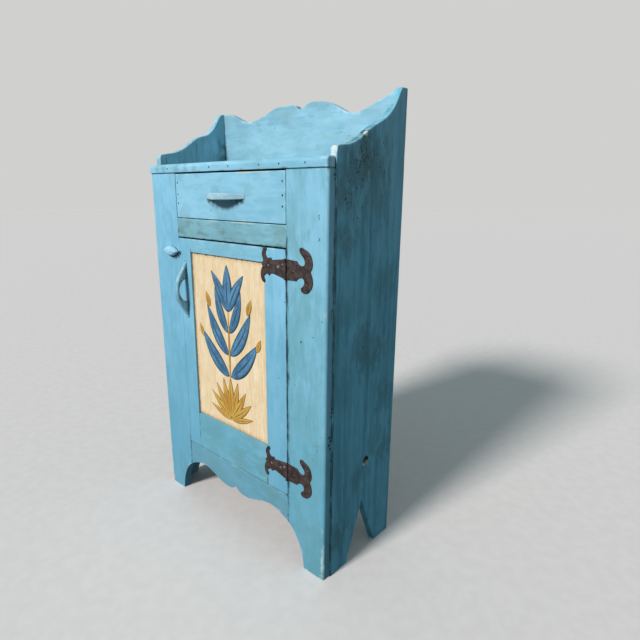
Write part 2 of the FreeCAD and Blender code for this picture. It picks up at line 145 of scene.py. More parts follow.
def connect(tree, shader, colour, rough, height, depth):
    tree.links.new(colour, shader.inputs["Base Color"])
    tree.links.new(rough, shader.inputs["Roughness"])
    bump = add(tree, "Bump", {"Height": height, "Distance": depth, "Strength": 0.6})
    tree.links.new(bump.outputs[0], shader.inputs["Normal"])


alongGrain = {"x": (0.045, 1, 1), "y": (1, 0.045, 1), "z": (1, 1, 0.045)}


# old milk paint: patchy brushed blue, grime in the hollows and joints, pale where hands and feet rub; it also
# carries painted shade: darker towards the floor, on the pulls' shaded sides, and in dark dots under the
# drawer pull, the turn button and the strip's end
def milkPaint(name, look):
    finish, tree, shader, place = newFinish(name)
    grain = alongGrain[look["grain"]]
    slow = tuple(0.4 if g < 1 else 1 for g in grain)
    bristle = grainNoise(tree, place, 520, grain, 2.0)
    brush = grainNoise(tree, place, 170, grain, 4.0, 0.6)
    streak = grainNoise(tree, place, 52, grain, 4.0, 0.55, (0.7, 2.9, 1.3))
    cloud = grainNoise(tree, place, 11, slow, 5.0, 0.6)
    blotch = grainNoise(tree, place, 17, slow, 6.0, 0.64, (3.1, 1.7, 2.3))
    patch = grainNoise(tree, place, 60, slow, 4.0, 0.65)
    speck = grainNoise(tree, place, 165, (1, 1, 1), 3.0, 0.7)

    def share(value, part):
        return times(tree, value, part)

    def ragged(amount):
        return ramp(tree, patch, 0.3, 0.7, -amount, amount)

    def spotted(spots, rough):  # soft round places with ragged rims
        total = None
        for x, y, z, reach, force in spots:
            centre = (x * mm, y * mm + faceY, z * mm)
            away = add(tree, "VectorMath", {0: place, 1: centre}, operation="DISTANCE").outputs["Value"]
            away = plus(tree, away, ragged(rough * reach * mm))
            here = ramp(tree, away, reach * mm, 0.25 * reach * mm, 0.0, force)
            total = here if total is None else most(tree, total, here)
        return total

    def weave(layers, parts):
        total = share(layers[0], parts[0])
        for layer, part in zip(layers[1:], parts[1:]):
            total = plus(tree, total, share(layer, part))
        return total

    blend = weave((cloud, patch, brush, streak), look["strokes"])
    colour = mixTone(tree, ramp(tree, blend, 0.39, 0.61), look["deep"], look["light"])
    # darker towards the floor: painted shade for the light falling off downwards, partly grime
    height = add(tree, "SeparateXYZ", {0: place}).outputs[2]
    colour = mixTone(tree, ramp(tree, height, 0.95, 0.0, 0.0, look["low"]), colour, look["lowShadeTone"])
    dirtMap = weave((blotch, patch, brush, streak), look["soil"])
    dirt = share(ramp(tree, dirtMap, look["clean"], look["clean"] + 0.22), look["dirtShare"])
    if look["stains"]:
        stain = share(spotted(look["stains"], 0.45), ramp(tree, dirtMap, 0.34, 0.62, 0.3, 1.0))
        dirt = most(tree, dirt, stain)
    dirt = share(dirt, ramp(tree, patch, 0.3, 0.7, 0.55, 1.0))
    colour = mixTone(tree, dirt, colour, look["dirt"])
    pepper = share(ramp(tree, speck, 0.55, 0.62), share(ramp(tree, dirt, 0.2, 0.75), look["pepper"]))
    colour = mixTone(tree, pepper, colour, look["speckTone"])
    wear = add(tree, "Attribute", {}, attribute_name="wear").outputs["Fac"]
    uneven = ramp(tree, patch, 0.28, 0.72, -0.4, 0.4)
    # dark where the wear attribute is below 0: grime in joints and crevices, and painted shade on the pulls'
    # shaded sides
    grimeAndShade = ramp(tree, less(tree, uneven, share(wear, 1.3)), 0.3, 1.15)
    colour = mixTone(tree, share(grimeAndShade, 0.9), colour, look["joint"])
    thin = share(ramp(tree, plus(tree, wear, uneven), 0.4, 0.95), look["edge"])
    thin = most(tree, thin, share(ramp(tree, plus(tree, bristle, share(patch, 0.6)), 0.94, 1.1), look["rub"]))
    colour = mixTone(tree, thin, colour, look["pale"])
    colour = mixTone(tree, ramp(tree, plus(tree, wear, uneven), 0.95, 1.15, 0.0, 0.85), colour, look["wood"])
    if look["chalk"]:
        colour = mixTone(tree, spotted(look["chalk"], 0.5), colour, look["chalkTone"])
    bare = add(tree, "Attribute", {}, attribute_name="bare").outputs["Fac"]
    chip = ramp(tree, plus(tree, bare, ragged(0.45)), 0.5, 0.6)
    timber = mixTone(tree, ramp(tree, brush, 0.35, 0.6), look["bark"], look["wood"])
    colour = mixTone(tree, chip, colour, timber)
    cells = add(tree, "TexVoronoi", {"Vector": place, "Scale": 46.0}, feature="F1")
    chosen = add(tree, "SeparateColor", {0: cells.outputs["Color"]}).outputs[0]
    chosen = ramp(tree, plus(tree, chosen, share(dirt, 0.12)), look["holes"], look["holes"] + 0.01)
    pitsAndShadow = share(chosen, ramp(tree, cells.outputs["Distance"], 0.075, 0.035))
    # the listed dots are pits and nail holes, and some are painted shadow under the drawer pull, the turn
    # button and the strip's end
    if look["dots"]:
        pitsAndShadow = most(tree, pitsAndShadow, spotted(look["dots"], 0.08))
    colour = mixTone(tree, share(pitsAndShadow, 0.92), colour, look["pitAndShadowTone"])
    rough = plus(tree, ramp(tree, bristle, 0.2, 0.8, 0.4, 0.54), share(dirt, 0.18))
    height = plus(tree, share(bristle, 0.3), plus(tree, share(brush, 0.4), share(speck, 0.2)))
    height = less(tree, height, plus(tree, pitsAndShadow, share(chip, 0.5)))
    connect(tree, shader, colour, rough, height, 0.0006)
    shader.inputs["Specular IOR Level"].default_value = 0.35
    return finish


# each spot: x, y and z of a point on the cupboard and its reach, all in mm, then its force
skyBlue = {"grain": "z", "light": tone(143, 200, 225), "deep": tone(116, 175, 190),
           "pale": tone(198, 225, 231), "lowShadeTone": tone(88, 152, 172), "low": 0.72,
           "dirt": tone(100, 138, 134), "joint": tone(34, 48, 50), "wood": tone(208, 194, 168),
           "bark": tone(112, 92, 76), "strokes": (0.46, 0.3, 0.16, 0.08), "soil": (0.6, 0.16, 0.12, 0.12),
           "clean": 0.47, "dirtShare": 0.6, "pepper": 0.35, "rub": 0.14, "edge": 0.5, "holes": 0.985,
           "speckTone": tone(22, 32, 34), "pitAndShadowTone": tone(24, 32, 34), "chalkTone": tone(224, 229, 226),
           "stains": [], "chalk": [], "dots": []}
# the dots on the stile's right edge 944 high, under the strip's end, are painted shade in the gap there
stileMarks = {
    "stains": [(262, 0, 660, 60, 0.3), (250, 0, 520, 70, 0.35), (228, 0, 800, 40, 0.5),
               (300, 0, 350, 26, 0.5), (287, 0, 310, 24, 0.5), (236, 0, 150, 34, 0.4),
               (190, 0, 330, 50, 0.35), (262, 0, 420, 70, 0.3), (277, 0, 110, 70, 0.5),
               (296, 0, 40, 60, 0.55)],
    "dots": [(297, 0, 852, 2.2, 1), (297, 0, 848.5, 2.2, 1), (298, 0, 844.5, 2.0, 1), (299, 0, 806, 2.0, 1),
             (299, 0, 803, 2.0, 1), (293, 0, 801, 1.6, 0.8), (247.7, 0, 580, 3.4, 1), (308, 0, 636, 2.2, 1),
             (283, 0, 597, 2.2, 1), (233, 0, 623, 1.8, 0.8), (229, 0, 475, 1.8, 0.8),
             (307, 0, 372, 1.4, 0.8), (303, 0, 360, 1.5, 0.8), (299, 0, 348, 1.4, 0.8),
             (295, 0, 335, 1.6, 0.9), (291, 0, 322, 1.4, 0.8), (286, 0, 308, 1.4, 0.8),
             (320, 19, 930, 4.0, 1), (320, 20, 922, 3.0, 1), (320, 19, 727, 2.6, 1), (320, 18, 659, 3.0, 1),
             (320, 21, 438, 3.6, 1), (320, 20, 429, 3.0, 1), (320, 20, 420, 3.2, 1), (320, 15, 370, 5.6, 1),
             (320, 18, 361, 5.0, 1), (320, 14, 352, 5.6, 1), (320, 17, 342, 5.0, 1), (320, 20, 312, 2.8, 1),
             (320, 21, 237, 3.0, 1), (320, 3, 944, 4.0, 1), (320, 9, 944, 4.0, 1), (320, 15, 944, 4.0, 1),
             (320, 20, 944, 4.5, 1)],
}
paintUp = milkPaint("milkPaintUp", {**skyBlue, **stileMarks})
# the large dark dots under and right of the turn button are painted shadow
paintDoor = milkPaint("milkPaintDoor", {
    **skyBlue, "light": tone(144, 203, 231), "deep": tone(121, 182, 207), "lowShadeTone": tone(92, 152, 175),
    "clean": 0.54, "dirtShare": 0.45, "stains": [(-222, 0, 733, 16, 0.5), (-240, 0, 60, 60, 0.4)],
    "dots": [(-293, 0, 600, 1.8, 0.8), (199, 0, 662, 2.6, 0.9), (177, 0, 478, 2.2, 1),
             (-222, 0, 727, 12, 1), (-211, 0, 731, 12, 1), (-202, 0, 736.5, 9, 1), (-234, 0, 726, 10, 0.95),
             (-246, 0, 727, 7, 0.7)]})
across = {**skyBlue, "grain": "x", "stains": [
    (67, 0, 288, 46, 0.6), (112, 0, 220, 60, 0.7), (23, 0, 208, 60, 0.6), (-85, 0, 228, 70, 0.5),
    (139, 0, 166, 50, 0.6), (22, 0, 184, 40, 0.6), (-90, 0, 176, 50, 0.5), (192, 0, 134, 36, 0.6),
    (-20, 0, 760, 60, 0.3)]}
paintAcross = milkPaint("milkPaintAcross", {
    **across, "light": tone(146, 203, 228), "deep": tone(121, 180, 199)})
paintApron = milkPaint("milkPaintApron", {**across, "lowShadeTone": tone(88, 138, 157)})
# the large dark dots just under the drawer pull are painted shadow, darkest at its ends
paintDrawer = milkPaint("milkPaintDrawer", {
    **skyBlue, "grain": "x", "light": tone(148, 203, 227), "deep": tone(126, 184, 205),
    "clean": 0.56, "low": 0.3,
    "stains": [(-40, 0, 905, 30, 0.35), (80, 0, 905, 30, 0.35), (-170, 0, 840, 40, 0.4), (0, 0, 830, 50, 0.3),
               (-280, -4, 956, 20, 0.6), (-250, 0, 955, 20, 0.6), (-190, -4, 951, 20, 0.7),
               (-150, -4, 950, 20, 0.7), (-112, -4, 950, 18, 0.6), (120, 0, 953, 24, 0.3)],
    "dots": [(-55, 0, 853, 2.4, 1), (60, 0, 838, 1.6, 0.7), (-60, 0, 878, 14, 0.9), (60, 0, 878, 14, 0.95),
             (-44, 0, 874, 17, 0.7), (44, 0, 874, 17, 0.75), (-27, 0, 871, 20, 0.55), (27, 0, 871, 20, 0.58),
             (-9, 0, 869, 22, 0.5), (9, 0, 869, 22, 0.5)]})
paintRail = milkPaint("milkPaintRail", {
    **skyBlue, "grain": "x", "light": tone(142, 196, 212), "deep": tone(114, 167, 181),
    "dirt": tone(96, 126, 120), "soil": (0.42, 0.44, 0.08, 0.06), "clean": 0.42, "dirtShare": 0.8, "low": 0.2,
    "stains": [(-190, 0, 806, 34, 0.7), (-100, 0, 812, 40, 0.5), (105, 0, 815, 40, 0.5),
               (186, 0, 812, 34, 0.7), (15, 0, 795, 40, 0.5)]})
paintGallery = milkPaint("milkPaintGallery", {
    **skyBlue, "grain": "x", "clean": 0.41, "light": tone(160, 209, 230), "deep": tone(124, 175, 194),
    "dirt": tone(114, 148, 144), "strokes": (0.42, 0.34, 0.16, 0.08), "soil": (0.5, 0.3, 0.12, 0.08),
    "dirtShare": 0.62, "stains": [
        (-303, 244, 1010, 45, 0.7), (-303, 244, 1090, 36, 0.7), (-250, 244, 968, 80, 0.6),
        (-120, 244, 966, 50, 0.5), (30, 244, 966, 60, 0.5), (303, 244, 1000, 50, 0.6),
        (120, 244, 1060, 50, 0.35), (-219, 244, 1025, 40, 0.4), (-24, 244, 1074, 34, 0.5),
        (12, 244, 1030, 44, 0.4), (-177, 244, 1074, 40, 0.35)],
    "dots": [(-82, 244, 1067, 2.4, 0.9), (-222, 244, 1014, 2.0, 0.7), (150, 244, 1040, 2.0, 0.7)]})
# the right side's paint is darker than the front's: partly grime, partly painted shade
paintSide = milkPaint("milkPaintSide", {
    **skyBlue, "light": tone(120, 194, 218), "deep": tone(86, 152, 174), "pale": tone(166, 204, 216),
    "dirt": tone(66, 86, 80), "strokes": (0.22, 0.14, 0.22, 0.42), "soil": (0.5, 0.1, 0.1, 0.3), "low": 0.0,
    "clean": 0.48, "dirtShare": 0.6, "pepper": 1.0, "rub": 0.1, "edge": 0.4, "holes": 0.955,
    "stains": [(323, 92, 935, 80, 0.85), (323, 48, 890, 60, 0.75), (323, 130, 960, 90, 0.95),
               (323, 150, 880, 70, 0.7), (323, 120, 1000, 50, 0.8), (323, 55, 800, 60, 0.7),
               (323, 122, 562, 80, 0.7), (323, 155, 530, 80, 0.8), (323, 200, 300, 70, 0.6),
               (323, 50, 640, 60, 0.5), (323, 200, 700, 70, 0.5), (323, 222, 400, 60, 0.6),
               (323, 218, 262, 50, 0.85), (323, 40, 94, 60, 0.75), (323, 120, 220, 60, 0.5)],
    "chalk": [(313, 23, 977, 13, 0.85), (313, 23, 967, 10, 0.8), (322, 114, 1016, 7, 0.9),
              (323, 144.5, 249, 5, 0.75)],
    "dots": [(323, 107, 867, 2.6, 1), (323, 79, 844, 2.6, 1), (323, 92, 846, 2.8, 1), (323, 166, 951, 2.8, 1),
             (323, 152, 815, 2.2, 1), (323, 225, 811, 2.6, 1), (323, 176, 1001, 3.2, 1),
             (323, 145, 878, 2.2, 1), (323, 116, 888, 2.4, 1), (323, 189, 379, 3.0, 1),
             (323, 100, 838, 2.0, 0.9), (323, 86, 851, 2.0, 0.9), (311, 115, 1016, 5.5, 1),
             (311.5, 121, 1020, 5.0, 1)]})
# the left side's paint is lighter than the front's: painted light for the bounce its inner face gets; the
# back corner has brown grime
paintLeft = milkPaint("milkPaintLeft", {
    **skyBlue, "light": tone(154, 207, 226), "deep": tone(124, 180, 198),
    "dirt": tone(78, 88, 78), "low": 0.4,
    "stains": [(-303, 200, 1000, 60, 0.5), (-303, 240, 1030, 34, 0.9), (-303, 240, 990, 34, 0.9),
               (-303, 130, 990, 50, 0.2)],
    "dots": [(-303, 40, z, 2.4, 0.9) for z in (984, 980, 976, 972)]})
paintCarved = milkPaint("milkPaintCarved", {
    **skyBlue, "grain": "x", "light": tone(168, 206, 222), "deep": tone(140, 182, 198),
    "wood": tone(198, 196, 188), "bark": tone(84, 84, 80), "dirt": tone(104, 122, 124), "edge": 0.65,
    "clean": 0.46, "rub": 0.25, "low": 0.0})
paintBow = milkPaint("milkPaintBow", {
    **skyBlue, "light": tone(146, 200, 222), "deep": tone(118, 172, 190), "wood": tone(204, 196, 182),
    "bark": tone(120, 104, 92), "dirt": tone(78, 104, 106), "edge": 0.52, "clean": 0.48, "rub": 0.2,
    "low": 0.0})
paintButton = milkPaint("milkPaintButton", {
    **skyBlue, "grain": "x", "light": tone(176, 217, 238), "deep": tone(150, 197, 220),
    "dirt": tone(128, 166, 180), "clean": 0.54, "edge": 0.6, "rub": 0.2, "low": 0.0})


# bare boards inside and behind, browned with age
def agedPine(name, grain, pale, brown):
    finish, tree, shader, place = newFinish(name)
    rings = grainNoise(tree, place, 130, alongGrain[grain], 5.0, 0.6)
    cloud = grainNoise(tree, place, 8, (1, 1, 1), 4.0)
    fibre = grainNoise(tree, place, 700, alongGrain[grain], 2.0)
    colour = mixTone(tree, ramp(tree, rings, 0.35, 0.65), brown, pale)
    colour = mixTone(tree, ramp(tree, cloud, 0.5, 0.75, 0.0, 0.5), colour, tone(82, 66, 50))
    height = plus(tree, rings, times(tree, fibre, 0.5))
    connect(tree, shader, colour, ramp(tree, fibre, 0.3, 0.7, 0.62, 0.82), height, 0.0005)
    return finish


pineUp = agedPine("agedPineUp", "z", tone(172, 142, 104), tone(128, 98, 66))
pineAcross = agedPine("agedPineAcross", "x", tone(178, 148, 110), tone(134, 104, 72))
pineDeep = agedPine("agedPineDeep", "y", tone(176, 146, 108), tone(132, 102, 70))

knotHole = {"y": 153.0, "z": 257.0, "wide": 21.0, "tall": 22.0,
            "lip": (321.0, 311.0), "shade": (249.0, 256.0)}  # x and z between which it turns black


# wall of the knot hole, pale at the lip, with black painted shade deeper inside and under the top
def knotWall(name):
    finish, tree, shader, place = newFinish(name)
    lip, shade = ([at * mm for at in knotHole[key]] for key in ("lip", "shade"))
    rings = grainNoise(tree, place, 300, (0.2, 1, 1), 4.0, 0.6)
    parts = add(tree, "SeparateXYZ", {0: place}).outputs
    colour = mixTone(tree, ramp(tree, rings, 0.35, 0.65), tone(176, 152, 122), tone(226, 212, 188))
    colour = mixTone(tree, ramp(tree, parts[0], *lip), colour, tone(14, 12, 10))
    colour = mixTone(tree, ramp(tree, parts[2], *shade), colour, tone(16, 14, 12))
    connect(tree, shader, colour, ramp(tree, rings, 0.3, 0.7, 0.7, 0.85), rings, 0.0006)
    return finish


knotWood = knotWall("knotWood")


# forged iron, browned and speckled with rust
def forgedIron(name, dark, warm, speck):
    finish, tree, shader, place = newFinish(name)
    cloud = grainNoise(tree, place, 70, (1, 1, 1), 4.0)
    grit = grainNoise(tree, place, 520, (1, 1, 1), 3.0, 0.7)
    dents = add(tree, "TexVoronoi", {"Vector": place, "Scale": 130.0, "Smoothness": 0.6}, feature="SMOOTH_F1")
    colour = mixTone(tree, ramp(tree, cloud, 0.38, 0.64), dark, warm)
    colour = mixTone(tree, ramp(tree, grit, 0.6, 0.72, 0.0, 0.7), colour, speck)
    height = plus(tree, dents.outputs["Distance"], times(tree, grit, 0.35))
    connect(tree, shader, colour, ramp(tree, cloud, 0.3, 0.7, 0.42, 0.62), height, 0.0008)
    shader.inputs["Metallic"].default_value = 0.15
    return finish


hingeIron = forgedIron("hingeIron", tone(52, 40, 38), tone(76, 62, 58), tone(118, 76, 62))
nailIron = forgedIron("nailIron", tone(30, 36, 40), tone(54, 58, 60), tone(84, 66, 54))
coveredIron = forgedIron("coveredIron", tone(58, 78, 86), tone(84, 110, 120), tone(50, 52, 50))
screwIron = forgedIron("screwIron", tone(92, 82, 76), tone(140, 126, 116), tone(120, 82, 64))


# cream ground of the door panel, streaked down the grain and browned towards the frame, with a dark line
# against the frame that is grime and painted shade, strongest under the top rail
def creamGround(name, opening):
    finish, tree, shader, place = newFinish(name)
    streak = grainNoise(tree, place, 210, (1, 1, 0.05), 4.0, 0.65)
    mottle = grainNoise(tree, place, 38, (1, 1, 0.4), 4.0, 0.6)
    colour = mixTone(tree, ramp(tree, streak, 0.34, 0.66), tone(230, 199, 156), tone(243, 219, 181))
    colour = mixTone(tree, ramp(tree, mottle, 0.5, 0.72, 0.0, 0.4), colour, tone(208, 178, 132))
    smudge = grainNoise(tree, place, 95, (1, 1, 0.7), 4.0, 0.65)
    colour = mixTone(tree, ramp(tree, smudge, 0.52, 0.7, 0.0, 0.4), colour, tone(212, 182, 136))
    colour = mixTone(tree, ramp(tree, mottle, 0.48, 0.3, 0.0, 0.6), colour, tone(248, 230, 200))
    parts = add(tree, "SeparateXYZ", {0: place})
    ragged = ramp(tree, smudge, 0.3, 0.7, -0.002, 0.002)
    brown = dark = None
    forces = (0.5, 0.45, 0.3, 0.9)  # left, right, bottom, top
    for axis, way, at, force in zip((0, 0, 2, 2), (1, -1, 1, -1), opening, forces):
        near = times(tree, less(tree, parts.outputs[axis], at * mm), way)
        near = plus(tree, near, ragged)
        halo = ramp(tree, near, 0.013, 0.0, 0.0, 0.55)
        # a thin dark line at the frame: grime and painted shade in the recess
        line = ramp(tree, near, 0.004, 0.001, 0.0, force)
        brown = halo if brown is None else most(tree, brown, halo)
        dark = line if dark is None else most(tree, dark, line)
    colour = mixTone(tree, dark, mixTone(tree, brown, colour, tone(188, 146, 90)), tone(66, 50, 38))
    height = plus(tree, streak, times(tree, mottle, 0.4))
    connect(tree, shader, colour, ramp(tree, mottle, 0.3, 0.7, 0.5, 0.66), height, 0.0005)
    return finish


# paint of the carved motif, with dark lines along its cut edges and veins that are partly a drawn line and
# partly painted shade of the carving, and worn to the cream in specks
def motifPaint(name, crown, body, edge, lines):
    finish, tree, shader, place = newFinish(name)
    streak = grainNoise(tree, place, 300, (1, 1, 0.1), 4.0, 0.65)
    wash = grainNoise(tree, place, 34, (1, 1, 0.6), 4.0, 0.6)
    speck = grainNoise(tree, place, 420, (1, 1, 0.4), 3.0, 0.7)
    rim = add(tree, "Attribute", {}, attribute_name="rim").outputs["Fac"]
    both = plus(tree, times(tree, wash, 0.7), times(tree, streak, 0.3))
    colour = mixTone(tree, ramp(tree, both, 0.4, 0.62), body, crown)
    colour = mixTone(tree, ramp(tree, streak, 0.56, 0.68, 0.0, lines), colour, edge)
    # dark outline along the rims: drawn line and painted shade of the cuts
    outline = ramp(tree, plus(tree, rim, ramp(tree, wash, 0.3, 0.7, -0.14, 0.14)), 0.36, 0.76, 0.0, 0.92)
    colour = mixTone(tree, outline, colour, edge)
    colour = mixTone(tree, ramp(tree, speck, 0.64, 0.72, 0.0, 0.7), colour, tone(222, 200, 160))
    height = plus(tree, streak, times(tree, speck, 0.3))
    connect(tree, shader, colour, ramp(tree, wash, 0.3, 0.7, 0.45, 0.62), height, 0.0005)
    return finish


motifBlue = motifPaint("motifBlue", tone(86, 141, 178), tone(54, 98, 132), tone(32, 48, 62), 0.3)
motifOchre = motifPaint("motifOchre", tone(216, 172, 78), tone(190, 138, 52), tone(104, 70, 32), 0.75)
print("finishes ready")


def shortenEdges(bm, step):
    for edge in [e for e in bm.edges if e.calc_length() > step * 1.5]:
        bmesh.ops.subdivide_edges(bm, edges=[edge], cuts=int(edge.calc_length() / step))


# draws an outline from runs of points: two points are a straight cut, more are a smooth curve
def drawOutline(runs, step):
    curve = bpy.data.curves.new("outline", "CURVE")
    curve.dimensions = "2D"
    curve.fill_mode = "NONE"
    curve.resolution_u = 7
    for run in runs:
        smooth = len(run) > 2
        spline = curve.splines.new("BEZIER" if smooth else "POLY")
        points = spline.bezier_points if smooth else spline.points
        points.add(len(run) - 1)
        for point, (u, v) in zip(points, run):
            point.co = (u, v, 0) if smooth else (u, v, 0, 1)
        if smooth:
            for point in points:
                point.handle_left_type = point.handle_right_type = "AUTO"
    holder = bpy.data.objects.new("outline", curve)
    drawn = bpy.data.meshes.new_from_object(holder)
    bpy.data.objects.remove(holder)
    bpy.data.curves.remove(curve)
    bm = bmesh.new()
    bm.from_mesh(drawn)
    bpy.data.meshes.remove(drawn)
    bmesh.ops.remove_doubles(bm, verts=bm.verts, dist=0.02)
    shortenEdges(bm, step)
    bmesh.ops.contextual_create(bm, geom=bm.edges)
    return bm


def thicken(bm, low, high):
    bmesh.ops.translate(bm, verts=bm.verts, vec=(0, 0, low))
    raised = bmesh.ops.extrude_face_region(bm, geom=bm.faces[:])
    verts = [g for g in raised["geom"] if isinstance(g, bmesh.types.BMVert)]
    bmesh.ops.translate(bm, verts=verts, vec=(0, 0, high - low))
    bmesh.ops.recalc_face_normals(bm, faces=bm.faces)


# saws off everything on the far side of a plane and closes the cut
def saw(bm, point, normal):
    geom = bm.verts[:] + bm.edges[:] + bm.faces[:]
    bmesh.ops.bisect_plane(bm, geom=geom, plane_co=point, plane_no=normal, clear_outer=True)
    bmesh.ops.remove_doubles(bm, verts=bm.verts, dist=0.5)
    bmesh.ops.contextual_create(bm, geom=[e for e in bm.edges if e.is_boundary])
    bmesh.ops.recalc_face_normals(bm, faces=bm.faces)


# rules a board into small faces, so that wear and dents have points to hold on to
def ruleFlats(bm, margin, pitch):
    for axis in (0, 1):
        low, high = (pick(v.co[axis] for v in bm.verts) for pick in (min, max))
        normal = Vector((axis == 0, axis == 1, 0))
        steps = max(1, round((high - low - 2 * margin) / pitch))
        for k in range(steps + 1):
            at = low + margin + (high - low - 2 * margin) * k / steps
            geom = bm.verts[:] + bm.edges[:] + bm.faces[:]
            bmesh.ops.bisect_plane(bm, geom=geom, dist=0.05, plane_co=normal * at, plane_no=normal)


def objectOf(bm, name):
    mesh = bpy.data.meshes.new(name)
    bm.to_mesh(mesh)
    made = bpy.data.objects.new(name, mesh)
    sceneItems.link(made)
    return made


# puts a helper object's finished mesh back into the bmesh
def takeResult(bm, helper, *others):
    done = bpy.data.meshes.new_from_object(helper.evaluated_get(bpy.context.evaluated_depsgraph_get()))
    bm.clear()
    bm.from_mesh(done)
    bpy.data.meshes.remove(done)
    for item in (helper,) + others:
        bpy.data.objects.remove(item)


# rounds the arrises in one pass: each is a radius, a wear (over 0) or grime (under 0) and a test
def easeArrises(bm, arrises, fade, segments=3, pitch=14.0):
    widest = max(radius for radius, wear, pick in arrises)
    weight = bm.edges.layers.float.new("bevel_weight_edge")
    wearLayer = bm.verts.layers.float.new("wear")
    bm.verts.layers.float.new("bare")
    for edge in bm.edges:
        if not edge.is_manifold or edge.calc_face_angle() < 0.6:
            continue
        middle = (edge.verts[0].co + edge.verts[1].co) / 2
        for radius, wear, pick in arrises:
            if pick is None or pick(*middle):
                edge[weight] = radius / widest
                for vert in edge.verts:
                    vert[wearLayer] = max(vert[wearLayer], wear, key=abs)
                break
    blank = objectOf(bm, "blank")
    for k in range(2):
        blank.data.materials.append(None)
    ease = blank.modifiers.new("ease", "BEVEL")
    ease.limit_method = "WEIGHT"
    ease.width, ease.segments, ease.profile = widest, segments, 0.5
    ease.material = 1  # tells the rounded faces from the flat ones
    ease.use_clamp_overlap = False
    takeResult(bm, blank)
    ruleFlats(bm, widest + fade, pitch)
    wearLayer = bm.verts.layers.float["wear"]
    rounded = [v for v in bm.verts if any(f.material_index == 1 for f in v.link_faces)]
    nearest = kdtree.KDTree(len(rounded))
    for k, vert in enumerate(rounded):
        nearest.insert(vert.co, k)
    nearest.balance()
    done = set(rounded)
    for vert in bm.verts:
        if vert not in done:
            spot, k, away = nearest.find(vert.co)
            vert[wearLayer] = rounded[k][wearLayer] * max(0.0, 1 - away / fade)
    for face in bm.faces:
        face.material_index = 0


# hand work: arrises waver inwards a little, and knocks leave dents with bare wood
def handFinish(bm, waver, knocks):
    wearLayer = bm.verts.layers.float["wear"]
    bareLayer = bm.verts.layers.float["bare"]
    bm.normal_update()
    for vert in bm.verts:
        sink = 0.0
        if vert[wearLayer] > 0:
            sink = waver * (0.5 + 0.5 * noise.noise(vert.co * 0.035)) * min(1.0, vert[wearLayer] * 1.6)
        for spot, reach, depth in knocks:
            near = 1 - (vert.co - Vector(spot)).length / reach
            if near > 0:
                sink += depth * near * (0.6 + 0.4 * noise.noise(vert.co * 0.4))
                vert[bareLayer] = max(vert[bareLayer], min(1.0, near * 1.6))
        vert.co -= vert.normal * sink


def setPiece(bm, name, lay, finishes, body, replaced):
    bmesh.ops.transform(bm, matrix=lay, verts=bm.verts)
    bmesh.ops.recalc_face_normals(bm, faces=bm.faces)
    for face in bm.faces:
        face.smooth = True
    piece = objectOf(bm, name)
    bm.free()
    for finish in finishes:
        piece.data.materials.append(finish)
    piece.modifiers.new("evenShading", "WEIGHTED_NORMAL")
    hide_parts(*replaced)
    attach(piece, body)


def chain(points):  # straight cuts from point to point
    return [[a, b] for a, b in zip(points, points[1:])]


def rectangle(u0, u1, v0, v1):
    return chain([(u0, v0), (u1, v0), (u1, v1), (u0, v1), (u0, v0)])


def runFrom(shares, wide, tall, u0=0.0, v0=0.0):
    return [(u0 + u * wide, v0 + v * tall) for u, v in shares]


nailSkin = 0.1  # boards stand this far behind their nail heads

# sides, each drawn whole and sawn into a front and a rear board; their gallery curves aren't quite alike
sides = {
    "inner": 303.0, "thick": 20.0 - nailSkin, "front": 22.0, "back": 264.0, "peak": 1121.0,
    "shoulder": {"right": 986.5, "left": 995.5}, "flat": {"right": 0.925, "left": 0.888},
    "curve": {"right": ((0.035, 0.0), (0.15, 0.028), (0.27, 0.1), (0.405, 0.25), (0.535, 0.372),
                        (0.645, 0.464), (0.735, 0.577), (0.82, 0.745), (0.875, 0.905), (0.902, 0.982)),
              "left": ((0.035, 0.0), (0.12, 0.03), (0.2, 0.062), (0.283, 0.13), (0.368, 0.225),
                       (0.455, 0.342), (0.52, 0.42), (0.587, 0.464), (0.653, 0.503), (0.715, 0.585),
                       (0.77, 0.7), (0.82, 0.853), (0.86, 0.953))},
    "corner": 8.5, "cornerBow": 2.6, "joint": 141.0, "notch": (83.0, 150.0, 203.0), "round": 2.6, "fade": 4.0,
    "stileEnd": 30.0, "galleryStart": 12.0,  # both below the shoulder
    "knocks": {"right": [((110, 1014, 18), 6, 2.0)], "left": [((30, 6, 18), 22, 2.5)]},
}


def sideOutline(hand):
    front, back, peak, notch = sides["front"], sides["back"], sides["peak"], sides["notch"]
    top, deep = sides["shoulder"][hand], back - front
    curve = runFrom(sides["curve"][hand], deep, peak - top, front, top)
    shoulder, bow = (front, top - sides["corner"]), sides["cornerBow"]
    stops = [curve[-1], (front + sides["flat"][hand] * deep, peak), (back, peak), (back, 0), (notch[2], 0),
             (sides["joint"], notch[1]), (notch[0], 0), (front, 0), shoulder]
    return [[shoulder, (front + bow, top - bow), curve[0]], curve] + chain(stops)


def boreKnot(bm):
    cutter = bmesh.new()
    bmesh.ops.create_cone(cutter, cap_ends=True, segments=20, radius1=0.85, radius2=1.0, depth=60.0)
    bmesh.ops.scale(cutter, verts=cutter.verts, vec=(knotHole["wide"] / 2, knotHole["tall"] / 2, 1))
    for vert in cutter.verts:
        vert.co.xy *= 1 + 0.12 * noise.noise(vert.co * 0.2)
    middle = Vector((knotHole["y"], knotHole["z"], sides["inner"] + 10))
    wallReach = knotHole["tall"] * 0.62
    bmesh.ops.translate(cutter, verts=cutter.verts, vec=middle)
    board, plug = objectOf(bm, "knotBoard"), objectOf(cutter, "knotPlug")
    cutter.free()
    board.modifiers.new("knot", "BOOLEAN").object = plug
    takeResult(bm, board, plug)
    for face in bm.faces:
        if abs(face.normal.z) < 0.5 and (face.calc_center_median() - middle).xy.length < wallReach:
            face.material_index = 1


